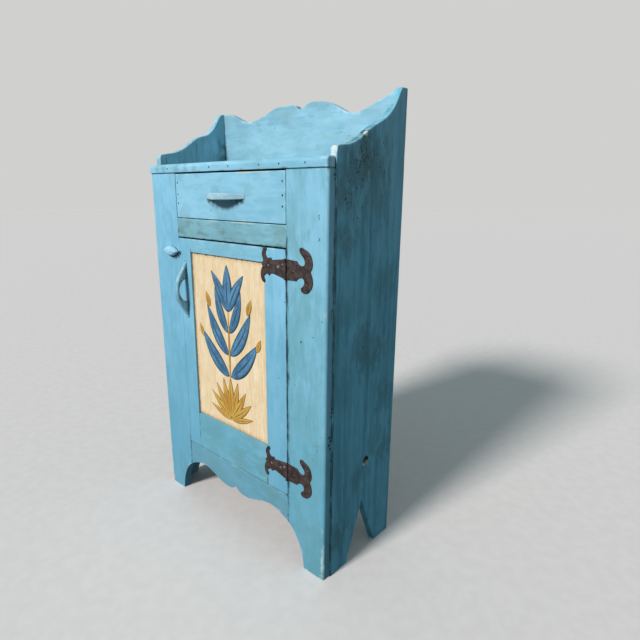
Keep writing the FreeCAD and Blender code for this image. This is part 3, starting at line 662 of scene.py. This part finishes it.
for hand, lay in (("right", rightLay), ("left", leftLay)):
    for end, towards in (("front", 1), ("rear", -1)):
        bm = drawOutline(sideOutline(hand), boardStep)
        thicken(bm, sides["inner"], sides["inner"] + sides["thick"])
        saw(bm, (sides["joint"], 0, 0), (towards, 0, 0))
        shoulder = sides["shoulder"][hand]
        atJoint = lambda u, v, w: abs(u - sides["joint"]) < hair
        atStile = lambda u, v, w: u < sides["front"] + hair and v < shoulder - sides["stileEnd"]
        onGallery = lambda u, v, w: v > shoulder - sides["galleryStart"]
        arrises = [(0.5, -0.4, atJoint), (0.6, -0.85, atStile), (sides["round"], 0.6, onGallery),
                   (1.5, 0.45, None)]
        easeArrises(bm, arrises, sides["fade"])
        handFinish(bm, 0.6, [((u, v, sides["inner"] + w), r, d) for (u, v, w), r, d in sides["knocks"][hand]])
        if (hand, end) == ("right", "rear"):
            boreKnot(bm)
        name = "side" + hand.title() + end.title()
        finishes = [paintSide if hand == "right" else paintLeft, knotWood]
        setPiece(bm, name, lay, finishes, "carcass", ["side_" + hand + "_" + end])
print("sides sawn")

# face frame: one scrolled plate sawn into two stiles and the apron, and the rail over the door
faceFrame = {
    "half": 320.0, "open": 204.5, "height": 944.0, "thick": 22.0, "apronTop": 178.0, "doorHead": 785.0,
    "stileRound": 6.5, "wornFoot": 110.0, "hingeDeep": 5.0,
    "scroll": ((0.0, 0.645), (0.05, 0.583), (0.12, 0.57), (0.195, 0.588), (0.28, 0.638), (0.37, 0.686),
               (0.456, 0.702), (0.55, 0.66), (0.64, 0.583), (0.713, 0.46), (0.765, 0.292), (0.79, 0.124),
               (0.8, 0.0)),
    "knocks": {"stile_right": [((319, 12, 0), 14, 2.0), ((319, 70, 0), 6, 1.0), ((319, 100, 0), 5, 0.8)],
               "stile_left": [((-318, 14, 2), 20, 3.0)], "apron": []},
}
half, opening, height, thick = (faceFrame[key] for key in ("half", "open", "height", "thick"))
apronTop, doorHead, hingeDeep = (faceFrame[key] for key in ("apronTop", "doorHead", "hingeDeep"))
rightScroll = runFrom(faceFrame["scroll"], half, apronTop)
leftScroll = [(-u, v) for u, v in rightScroll]
frameStops = [rightScroll[-1], (half, 0), (half, height), (-half, height), (-half, 0), leftScroll[-1]]
frameRuns = [rightScroll, leftScroll] + chain(frameStops)
frameCuts = {"stile_right": [((opening, 0, 0), (-1, 0, 0))], "stile_left": [((-opening, 0, 0), (1, 0, 0))],
             "apron": [((opening, 0, 0), (1, 0, 0)), ((-opening, 0, 0), (-1, 0, 0)),
                       ((0, apronTop, 0), (0, 1, 0))]}
for node, cuts in frameCuts.items():
    bm = drawOutline(frameRuns, boardStep)
    thicken(bm, nailSkin, thick)
    for point, normal in cuts:
        saw(bm, point, normal)
    shortenEdges(bm, boardStep)
    outside = lambda u, v, w: abs(u) > half - hair and w < frontBand < v < height - frontBand
    wornFoot = lambda u, v, w: outside(u, v, w) and v < faceFrame["wornFoot"]
    inner = lambda u, v, w: abs(abs(u) - opening) < hair
    meeting = lambda u, v, w: inner(u, v, w) and v < apronTop + frontBand
    atSide = lambda u, v, w: abs(u) > half - hair and w > thick - 2 * frontBand
    hingeGap = lambda u, v, w: abs(u - opening) < hair and apronTop < v < doorHead and w < hingeDeep
    arrises = [(0.3, -0.6, meeting), (0.7, -0.75, hingeGap), (0.6, 0.1, inner), (0.6, -0.45, atSide),
               (1.3, 0.45, None)]
    if node != "apron":
        stileRound = faceFrame["stileRound"]
        arrises = [(stileRound, 0.84, wornFoot), (stileRound, 0.3, outside)] + arrises
    easeArrises(bm, arrises, 4.0, 4)
    handFinish(bm, 0.6, faceFrame["knocks"][node])
    name = {"stile_right": "stileRight", "stile_left": "stileLeft", "apron": "scrolledApron"}[node]
    finish = {"stile_right": paintUp, "stile_left": paintDoor, "apron": paintApron}[node]
    setPiece(bm, name, frontLay, [finish], "carcass", [node])


# square-cut boards take their size from the frame
def squareBoard(name, node, body, finish, arrises, fade=4.0, size=None, skin=0.0, segments=3, planed=0.0):
    x0, x1, y0, y1, z0, z1 = size or boxOf(node)
    bm = drawOutline(rectangle(x0, x1, z0, z1), boardStep)
    thicken(bm, y0 + skin, y1)
    for vert in bm.verts:  # the closing edge is planed back towards the rear
        if vert.co.x < x0 + hair:
            vert.co.x -= planed * (1 - (vert.co.z - y0) / (y1 - y0))
    easeArrises(bm, arrises, fade, segments)
    handFinish(bm, 0.5, [])
    setPiece(bm, name, frontLay, [finish], body, [node])


railLip = lambda u, v, w: v > boxOf("mid_rail")[5] - hair and w < frontBand
squareBoard("midRail", "mid_rail", "carcass", paintRail, [(0.9, 0.8, railLip), (0.7, -0.5, None)])
topStrip = {"nose": 11.5, "under": 0.6, "ends": 5.0, "back": 2.6}  # how far its arrises are rounded
stripBox = boxOf("top_strip")
stripEnd = lambda u, v, w: abs(u) > stripBox[1] - hair
stripNose = lambda u, v, w: v > stripBox[5] - hair and w < stripBox[2] + frontBand and not stripEnd(u, v, w)
stripUnder = lambda u, v, w: v < stripBox[4] + hair
stripArrises = [(topStrip["nose"], 0.35, stripNose), (topStrip["under"], -0.35, stripUnder),
                (topStrip["ends"], 0.6, stripEnd), (topStrip["back"], 0.5, None)]
squareBoard("topStrip", "top_strip", "carcass", paintDrawer, stripArrises, 2.5, skin=nailSkin, segments=6)
x0, x1, y0, y1, z0, z1 = boxOf("top_board")  # lies flat between the sides
bm = drawOutline(rectangle(x0, x1, y0, y1), boardStep)
thicken(bm, z0, z1)
atBack = lambda u, v, w: v > y1 - hair
easeArrises(bm, [(1.0, 0.2, atBack), (1.0, -0.7, None)], 16.0)
setPiece(bm, "topBoard", levelLay, [paintGallery], "carcass", ["top_board"])
for bay in ("left", "middle", "right"):
    x0, x1, y0, y1, z0, z1 = boxOf("back_board_" + bay)
    backSize = (x0, x1, y0, y1 - nailSkin, z0, z1)
    squareBoard("backBoard" + bay.title(), "back_board_" + bay, "carcass", pineUp, [(1.3, 0.3, None)],
                size=backSize)

# gallery board at the back of the top
backGallery = {
    "half": 303.0, "base": 966.0, "rise": 155.0, "near": 244.0, "far": 264.0, "scrollFrom": 1026.0,
    "right": ((0.028, 0.901), (0.058, 0.914), (0.09, 0.953), (0.145, 0.988), (0.21, 0.994), (0.29, 0.978),
              (0.38, 0.931), (0.465, 0.856), (0.548, 0.772), (0.62, 0.747), (0.705, 0.771), (0.78, 0.815),
              (0.85, 0.868), (0.92, 0.921), (1.0, 0.978)),
    "left": ((0.028, 0.901), (0.01, 0.921), (-0.013, 0.963), (-0.036, 0.978), (-0.075, 0.986),
             (-0.122, 0.994), (-0.175, 0.996), (-0.223, 0.994), (-0.275, 0.975), (-0.328, 0.94),
             (-0.38, 0.906), (-0.436, 0.872), (-0.49, 0.84), (-0.548, 0.817), (-0.604, 0.807),
             (-0.66, 0.815), (-0.72, 0.844), (-0.777, 0.891), (-0.85, 0.953), (-0.896, 0.982),
             (-0.94, 0.993), (-1.0, 0.998)),
}
half, base = backGallery["half"], backGallery["base"]
galleryRight = runFrom(backGallery["right"], half, backGallery["rise"], 0, base)
galleryLeft = runFrom(backGallery["left"], half, backGallery["rise"], 0, base)
galleryStops = [galleryRight[-1], (half, base), (-half, base), galleryLeft[-1]]
bm = drawOutline([galleryRight, galleryLeft] + chain(galleryStops), boardStep)
thicken(bm, backGallery["near"], backGallery["far"])
overTop = lambda u, v, w: v > backGallery["scrollFrom"]
inFront = lambda u, v, w: w < backGallery["near"] + frontBand
easeArrises(bm, [(2.6, 0.6, overTop), (0.8, -1.0, inFront), (0.8, -0.2, None)], 7.0)
handFinish(bm, 0.6, [])
setPiece(bm, "backGallery", frontLay, [paintGallery], "carcass", ["back_gallery"])
print("carcass boarded")

# drawer front and door frame
rubbed = (45, 112)  # stretch of the drawer's upper edge that has lost its paint
drawerTop = boxOf("drawer_front")[5]
drawerRub = lambda u, v, w: v > drawerTop - hair and w < frontBand and rubbed[0] < u < rubbed[1]
drawerArrises = [(1.5, 1.2, drawerRub), (1.5, 0.5, None)]
squareBoard("drawerFront", "drawer_front", "drawer", paintDrawer, drawerArrises, skin=nailSkin)
doorLeft, doorRight = boxOf("door_stile_left"), boxOf("door_stile_right")
railTop, railBottom = boxOf("door_rail_top"), boxOf("door_rail_bottom")
panelOpening = (doorLeft[1], doorRight[0], railBottom[5], railTop[4])
doorTop = lambda u, v, w: v > railTop[5] - hair
doorArrises = [(1.4, 0.6, doorTop), (0.7, 0.15, None)]
squareBoard("doorStileLeft", "door_stile_left", "door", paintDoor, doorArrises, planed=1.0)
hingeEdge = lambda u, v, w: u > doorRight[1] - hair and w < hingeDeep
hingeArrises = [(0.7, -0.75, hingeEdge)] + doorArrises
squareBoard("doorStileRight", "door_stile_right", "door", paintDoor, hingeArrises, 3.0)
railEnds = lambda u, v, w: u < doorLeft[1] + hair or u > doorRight[0] - hair
railArrises = [(0.5, -0.6, railEnds)] + doorArrises
for end, rail in (("top", railTop), ("bottom", railBottom)):  # shown without their tenons
    railSize = (doorLeft[1], doorRight[0], 0, thick, rail[4], rail[5])
    squareBoard("doorRail" + end.title(), "door_rail_" + end, "door", paintAcross, railArrises, size=railSize)
print("door and drawer framed")

# panel in the door, with a carved and painted plant growing from a fan of leaves
panel = {
    "front": 5.0, "back": 13.0, "middle": -10.5, "tuck": 1.5, "step": 40,
    # each leaf: finish, foot (from the middle line, height), angle, length, width, bend and rise
    # those that lean are mirrored
    "leaves": (
        ("ochre", (0, 313), 90, 116, 28, 0.0, 2.4), ("ochre", (0, 313), 70, 112, 27, 0.1, 2.4),
        ("ochre", (0, 313), 50, 106, 26, 0.12, 2.4), ("ochre", (0, 313), 30, 100, 24, 0.14, 2.4),
        ("ochre", (0, 309), 11, 90, 18, 0.1, 1.8), ("ochre", (0, 410), 90, 208, 9, 0.0, 1.8),
        ("blue", (3, 430), 33, 150, 44, 0.26, 3.0), ("blue", (3, 488), 44, 146, 40, 0.26, 3.0),
        ("blue", (3, 548), 56, 122, 33, 0.24, 2.8), ("blue", (0, 606), 90, 118, 40, 0.0, 3.2),
        ("blue", (2, 604), 66, 116, 34, -0.16, 3.0), ("ochre", (74, 606), 70, 44, 21, 0.0, 2.2),
        ("ochre", (106, 520), 66, 38, 18, 0.0, 2.2)),
}
finishOf = {"ochre": 2, "blue": 1}


# one carved leaf: a grid drawn out to a bent, crowned blade whose edge sinks into the board
def carveLeaf(bm, finish, foot, angle, length, width, bend, rise, hand):
    made = bmesh.ops.create_grid(bm, x_segments=18, y_segments=12, size=0.5)
    rimLayer = bm.verts.layers.float["rim"]
    turn = math.radians(angle)
    for vert in made["verts"]:
        s, t = vert.co.x + 0.5, vert.co.y * 2
        full = math.sin(math.pi * min(1.0, s) ** 0.8) ** 0.75 if 0 < s < 0.999 else 0.0
        u = s * length
        v = t * full * width / 2 + bend * length * (s * s - 0.15 * s)
        crown = (1 - abs(t) ** 2.5) * (0.35 + 0.65 * full) * rise
        crown -= 0.35 * rise * math.exp(-(t / 0.16) ** 2) * full  # the vein
        across = u * math.cos(turn) - v * math.sin(turn)
        up = u * math.sin(turn) + v * math.cos(turn)
        vert[rimLayer] = max(abs(t) ** 2, 1 - full ** 0.5, 0.9 * math.exp(-(t / 0.14) ** 2) * full)
        vert.co = (panel["middle"] + hand * (foot[0] + across), foot[1] + up, panel["front"] - crown + 0.3)
    faces = {f for v in made["verts"] for f in v.link_faces}
    for face in faces:
        face.material_index = finishOf[finish]


x0, x1, z0, z1 = panelOpening
tuck = panel["tuck"]
bm = drawOutline(rectangle(x0 - tuck, x1 + tuck, z0 - tuck, z1 + tuck), panel["step"])
thicken(bm, panel["front"], panel["back"])
for face in bm.faces:
    face.material_index = 3 if face.calc_center_median().z > panel["back"] - hair else 0  # bare behind
bm.verts.layers.float.new("rim")
for leaf in panel["leaves"]:
    angle = leaf[2]
    for hand in ((1,) if angle == 90 else (1, -1)):
        carveLeaf(bm, *leaf, hand)
bmesh.ops.remove_doubles(bm, verts=bm.verts, dist=0.01)
panelFinishes = [creamGround("creamGround", panelOpening), motifBlue, motifOchre, pineUp]
setPiece(bm, "doorPanel", frontLay, panelFinishes, "door", ["door_panel"])
print("panel carved")


# carved bow pulls: a bow sawn out, waisted to its ends and rounded over with a knife
def arcRun(reach, rise):
    ball = (reach ** 2 + rise ** 2) / (2 * rise)
    along = [k * reach for k in (-1, -0.72, -0.38, 0, 0.38, 0.72, 1)]
    return [(u, math.sqrt(ball ** 2 - u ** 2) - ball + rise) for u in along]


# each pull's dark sets which side is darkened as painted shade: 1 its right flank, -1 its underside
pulls = {
    "drawerPull": {
        "node": "drawer_pull", "body": "drawer", "long": 145.0, "reach": 34.0, "gap": (76.0, 20.0),
        "wide": 16.0, "narrow": 11.0, "round": 2.4, "upright": False, "dark": -1, "finish": paintCarved,
        "flank": ((-1, 0), (-0.62, 0.47), (-0.22, 0.93), (0, 1), (0.22, 0.93), (0.62, 0.47), (1, 0)),
        "knocks": [((18, 33, -3), 6, 0.5), ((40, 27, -4), 6, 0.5), ((54, 20, -2), 7, 0.5),
                   ((-62, 11, 3), 7, 0.5), ((-40, 26, -4), 5, 0.4)]},
    "doorPull": {
        "node": "door_pull", "body": "door", "long": 158.0, "reach": 36.0, "gap": (68.0, 28.0), "wide": 16.0,
        "narrow": 9.0, "round": 5.0, "upright": True, "dark": 1, "finish": paintBow,
        "flank": ((-1, 0), (-0.56, 0.6), (-0.24, 0.95), (0, 1), (0.22, 0.95), (0.42, 0.79), (0.69, 0.43),
                  (1, 0)),
        "knocks": [((62, 17, 2), 10, 0.6), ((50, 23, 4), 8, 0.6), ((57, 20, -4), 7, 0.5)]},
}
for name, pull in pulls.items():
    low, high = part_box(pull["node"])
    at = (low + high) / 2
    over = runFrom(pull["flank"], pull["long"] / 2, pull["reach"])
    under = arcRun(pull["gap"][0] / 2, pull["gap"][1])
    bm = drawOutline([over, under, [over[0], under[0]], [over[-1], under[-1]]], 8)
    thicken(bm, -pull["wide"] / 2, pull["wide"] / 2)
    for vert in bm.verts:
        vert.co.z *= 1 - (1 - pull["narrow"] / pull["wide"]) * (2 * vert.co.x / pull["long"]) ** 2
    foot = lambda u, v, w: v < frontBand
    outer = lambda u, v, w: v > max(frontBand, pull["reach"] * (1 - abs(2 * u / pull["long"])) * 0.9)
    easeArrises(bm, [(pull["round"], 0.55, outer), (0.6, -0.9, foot), (1.0, -0.8, None)], 3.0, 4, 6.0)
    wearLayer = bm.verts.layers.float["wear"]
    for vert in bm.verts:  # painted shade: the side that faces away from the light is darkened
        if vert.normal.z * pull["dark"] > 0.75 and abs(vert[wearLayer]) < 0.1:
            vert[wearLayer] = -0.55
    handFinish(bm, 0.7, pull["knocks"])
    row = (0, 0, mm, at.x), (mm, 0, 0, at.z)
    if not pull["upright"]:
        row = (mm, 0, 0, at.x), (0, 0, mm, at.z)
    lay = Matrix((row[0], (0, -mm, 0, faceY), row[1], (0, 0, 0, 1)))
    setPiece(bm, name, lay, [pull["finish"]], pull["body"], [pull["node"]])

# turn button, a lens drawn up in rings to a low dome; its paint covers the screw
button = {
    "long": 66.0, "tall": 27.0,
    # each ring: height, size and wear
    "rings": ((-0.5, 1.0, -0.8), (-3.5, 0.99, -0.2), (-7.0, 0.95, 0.2), (-9.8, 0.85, 0.4), (-11.5, 0.68, 0.4),
              (-12.4, 0.45, 0.3), (-12.8, 0.2, 0.2)),
}
low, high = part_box("turn_button")
at = (low + high) / 2
crest = arcRun(button["long"] / 2, button["tall"] / 2)
bm = drawOutline([crest, [(u, -v) for u, v in crest]], 4)
wearLayer = bm.verts.layers.float.new("wear")
bm.verts.layers.float.new("bare")
crown, rim, last = bm.verts[:], bm.edges[:], (0.0, 1.0)
for up, size, wear in button["rings"]:
    if size < 1:
        drawn = bmesh.ops.extrude_edge_only(bm, edges=rim)["geom"]
        crown = [g for g in drawn if isinstance(g, bmesh.types.BMVert)]
        rim = [g for g in drawn if isinstance(g, bmesh.types.BMEdge) and all(v in crown for v in g.verts)]
    bmesh.ops.translate(bm, verts=crown, vec=(0, 0, up - last[0]))
    bmesh.ops.scale(bm, verts=crown, vec=(size / last[1], size / last[1], 1))
    for vert in crown:
        vert[wearLayer] = wear
    last = (up, size)
bmesh.ops.contextual_create(bm, geom=rim)
bmesh.ops.translate(bm, verts=bm.verts, vec=(at.x / mm, at.z / mm, 0))
bmesh.ops.recalc_face_normals(bm, faces=bm.faces)
handFinish(bm, 0.4, [])
setPiece(bm, "latchButton", frontLay, [paintButton], "turn_button", ["turn_button"])
print("pulls and button carved")

# forged hinges: each leaf is cut round the other leaf's knuckles and curls into its own
hinges = {
    "pin": (203.75, -3.6), "thick": 2.4, "half": 22.5, "knuckle": 3.2, "bore": 1.55, "play": 0.15,
    "clear": 3.9, "heights": {"upper": 735.0, "lower": 245.0}, "doorEnds": (22.0, -21.6),
    "doorLeaf": (((-44, 16.5), (-47, 21.5), (-53.5, 20.0), (-60.5, 21.5)),
                 ((-60.5, 21.5), (-64.0, 31.0), (-60.0, 40.5)),
                 ((-60.0, 40.5), (-64.0, 44.5), (-70.5, 40.5), (-75.5, 29.5), (-72.0, 15.5)),
                 ((-72.0, 15.5), (-72.5, 10.5), (-77.0, 6.0), (-74.0, 0.5)),
                 ((-74.0, 0.5), (-79.0, -9.0), (-80.5, -22.0), (-75.5, -33.5), (-70.0, -37.0)),
                 ((-70.0, -37.0), (-66.5, -32.5), (-70.0, -22.5), (-63.0, -15.5)),
                 ((-63.0, -15.5), (-57.5, -15.5), (-53.5, -18.5), (-49.0, -14.5), (-40.0, -13.0))),
    "frameLeaf": (((33, 21.0), (39, 14.5), (48.5, 12.0), (56.0, 16.5), (55.0, 25.5), (47.0, 35.0),
                   (41.5, 41.0)),
                  ((41.5, 41.0), (42.5, 49.0), (56.0, 47.0), (70.0, 39.0), (77.0, 25.0), (77.0, 12.0),
                   (72.0, 2.0)),
                  ((72.0, 2.0), (77.5, -12.0), (78.0, -25.0), (71.0, -38.0), (58.0, -45.5), (47.0, -42.5),
                   (44.5, -35.5)),
                  ((44.5, -35.5), (52.0, -29.5), (55.0, -20.5), (49.5, -14.0), (40.0, -14.5), (30.5, -21.5))),
}


def knuckleRing(low, high):
    ring = bmesh.new()
    bore, knuckle = hinges["bore"], hinges["knuckle"]
    section = (bore, 0, low), (knuckle, 0, low), (knuckle, 0, high), (bore, 0, high)
    verts = [ring.verts.new(corner) for corner in section]
    edges = [ring.edges.new((a, b)) for a, b in zip(verts, verts[1:] + verts[:1])]
    bmesh.ops.spin(ring, geom=verts + edges, cent=(0, 0, 0), axis=(0, 0, 1), angle=2 * math.pi, steps=24,
                   use_merge=True)
    bmesh.ops.remove_doubles(ring, verts=ring.verts, dist=0.001)
    bmesh.ops.recalc_face_normals(ring, faces=ring.faces)
    lips = [e for e in ring.edges if e.calc_face_angle() > 1 and e.verts[0].co.xy.length > knuckle - 0.2]
    bmesh.ops.bevel(ring, geom=lips, offset=0.5, offset_type="OFFSET", affect="EDGES", segments=2,
                    profile=0.5, material=-1)
    return ring


pinX, pinY = hinges["pin"]
half, clear = hinges["half"], hinges["clear"]
inside, beyond = half / 3 - hinges["play"], half / 3 + hinges["play"]  # of the middle knuckle
doorHigh, doorLow = hinges["doorEnds"]
tongues = {"door": [(-clear, doorHigh), (-clear, inside), (0, inside), (0, -inside), (-clear, -inside),
                    (-clear, doorLow)],
           "frame": [(0, half), (0, beyond), (clear, beyond), (clear, -beyond), (0, -beyond), (0, -half)]}
rings = {"door": [(-inside, inside)], "frame": [(beyond, half), (-half, -beyond)]}
leafFront = lambda u, v, w: w < hair - hinges["thick"]
for which, z in hinges["heights"].items():
    for side, curls in (("door", hinges["doorLeaf"]), ("frame", hinges["frameLeaf"])):
        runs = list(curls) + chain([curls[0][0]] + tongues[side] + [curls[-1][-1]])
        bm = drawOutline([[(pinX + u, z + v) for u, v in run] for run in runs], 12)
        thicken(bm, -hinges["thick"], 0)
        easeArrises(bm, [(0.8, 1.0, leafFront)], 2.0, 2, 8.0)
        bmesh.ops.transform(bm, matrix=frontLay, verts=bm.verts)
        for low, high in rings[side]:
            ring = knuckleRing(low, high)
            bmesh.ops.translate(ring, verts=ring.verts, vec=(pinX, pinY, z))
            bmesh.ops.transform(ring, matrix=levelLay, verts=ring.verts)
            barrel = bpy.data.meshes.new("barrel")
            ring.to_mesh(barrel)
            ring.free()
            bm.from_mesh(barrel)
            bpy.data.meshes.remove(barrel)
        body = "door" if side == "door" else "carcass"
        name, node = which + side.title() + "Leaf", "hinge_" + which + "_" + side + "_leaf"
        setPiece(bm, name, Matrix(), [hingeIron], body, [node])
print("hinges forged")

# finishes of the pieces that stay as they are in the frame
kept = {
    pineAcross: ["bottom_board", "shelf", "drawer_bed", "drawer_back", "drawer_bottom"],
    pineDeep: ["shelf_cleat_left", "shelf_cleat_right", "drawer_guide_left", "drawer_guide_right",
               "drawer_side_left", "drawer_side_right"],
    nailIron: ["back_nails", "drawer_nails"],
    coveredIron: ["strip_nails"],
    paintUp: ["stile_nails"],
    paintSide: ["side_nails"],
    screwIron: ["hinge_door_screws", "drawer_pull_screws", "door_pull_screws"],
    hingeIron: ["hinge_upper_pin", "hinge_lower_pin", "hinge_frame_screws"],
    paintButton: ["turn_button_screw"],
}
for finish, names in kept.items():
    for node in names:
        nodes[node].data.materials.clear()
        nodes[node].data.materials.append(finish)

# camera at the photograph's place
view = {"place": (0.9507, -0.8514, 0.8918), "turn": 0.72126, "dip": 0.25136, "roll": 0.00942, "lens": 27.43,
        "sensor": 36.0}
camera = bpy.data.objects.new("camera", bpy.data.cameras.new("camera"))
camera.data.lens = view["lens"]
camera.data.sensor_width = view["sensor"]
camera.data.clip_start, camera.data.clip_end = 0.05, 60.0
aim = Matrix.Rotation(view["turn"], 4, "Z") @ Matrix.Rotation(math.pi / 2 - view["dip"], 4, "X")
camera.matrix_world = Matrix.Translation(view["place"]) @ aim @ Matrix.Rotation(view["roll"], 4, "Z")
sceneItems.link(camera)
bpy.context.scene.camera = camera

# pale floor and soft light from the front and left
studio = {"floor": tone(236, 228, 224), "floorSpeck": tone(231, 223, 219), "floorBounce": tone(92, 104, 110),
          "floorReach": 30.0, "backdrop": tone(208, 208, 207), "key": 3.15, "keySpread": 0.22, "fill": 0.3,
          "fillTone": (0.68, 0.92, 1.0, 1.0), "keyAim": (0.25, 2.4, -1.55)}
bm = bmesh.new()
bmesh.ops.create_circle(bm, cap_ends=True, segments=64, radius=studio["floorReach"])
floor = objectOf(bm, "floor")
bm.free()
floorFinish, tree, shader, place = newFinish("paleFloor")
speckle = grainNoise(tree, place, 30, (1, 1, 1), 3.0)
shown = mixTone(tree, ramp(tree, speckle, 0.3, 0.7), studio["floorSpeck"], studio["floor"])
path = add(tree, "LightPath", {})  # pale to the eye, but throws little light back on the cupboard
shown = mixTone(tree, path.outputs["Is Camera Ray"], studio["floorBounce"], shown)
connect(tree, shader, shown, ramp(tree, speckle, 0.3, 0.7, 0.8, 0.9), speckle, 0.0003)
floor.data.materials.append(floorFinish)

world = bpy.data.worlds.new("studio")
bpy.context.scene.world = world
world.use_nodes = True
tree = world.node_tree
rays = add(tree, "LightPath", {}).outputs
mirrored = most(tree, rays["Is Glossy Ray"], rays["Is Transmission Ray"])
seen = most(tree, rays["Is Camera Ray"], mirrored)
lit = add(tree, "Background", {"Color": studio["fillTone"], "Strength": studio["fill"]})
shown = add(tree, "Background", {"Color": studio["backdrop"], "Strength": 1.0})
both = add(tree, "MixShader", {0: seen, 1: lit.outputs[0], 2: shown.outputs[0]})
tree.links.new(both.outputs[0], tree.nodes["World Output"].inputs[0])

keyLamp = bpy.data.lights.new("key", "SUN")
keyLamp.energy = studio["key"]
keyLamp.angle = studio["keySpread"]
key = bpy.data.objects.new("key", keyLamp)
key.rotation_euler = Vector(studio["keyAim"]).to_track_quat("-Z", "Y").to_euler()
sceneItems.link(key)
bpy.context.scene.view_settings.view_transform = "Standard"
print("studio lit")
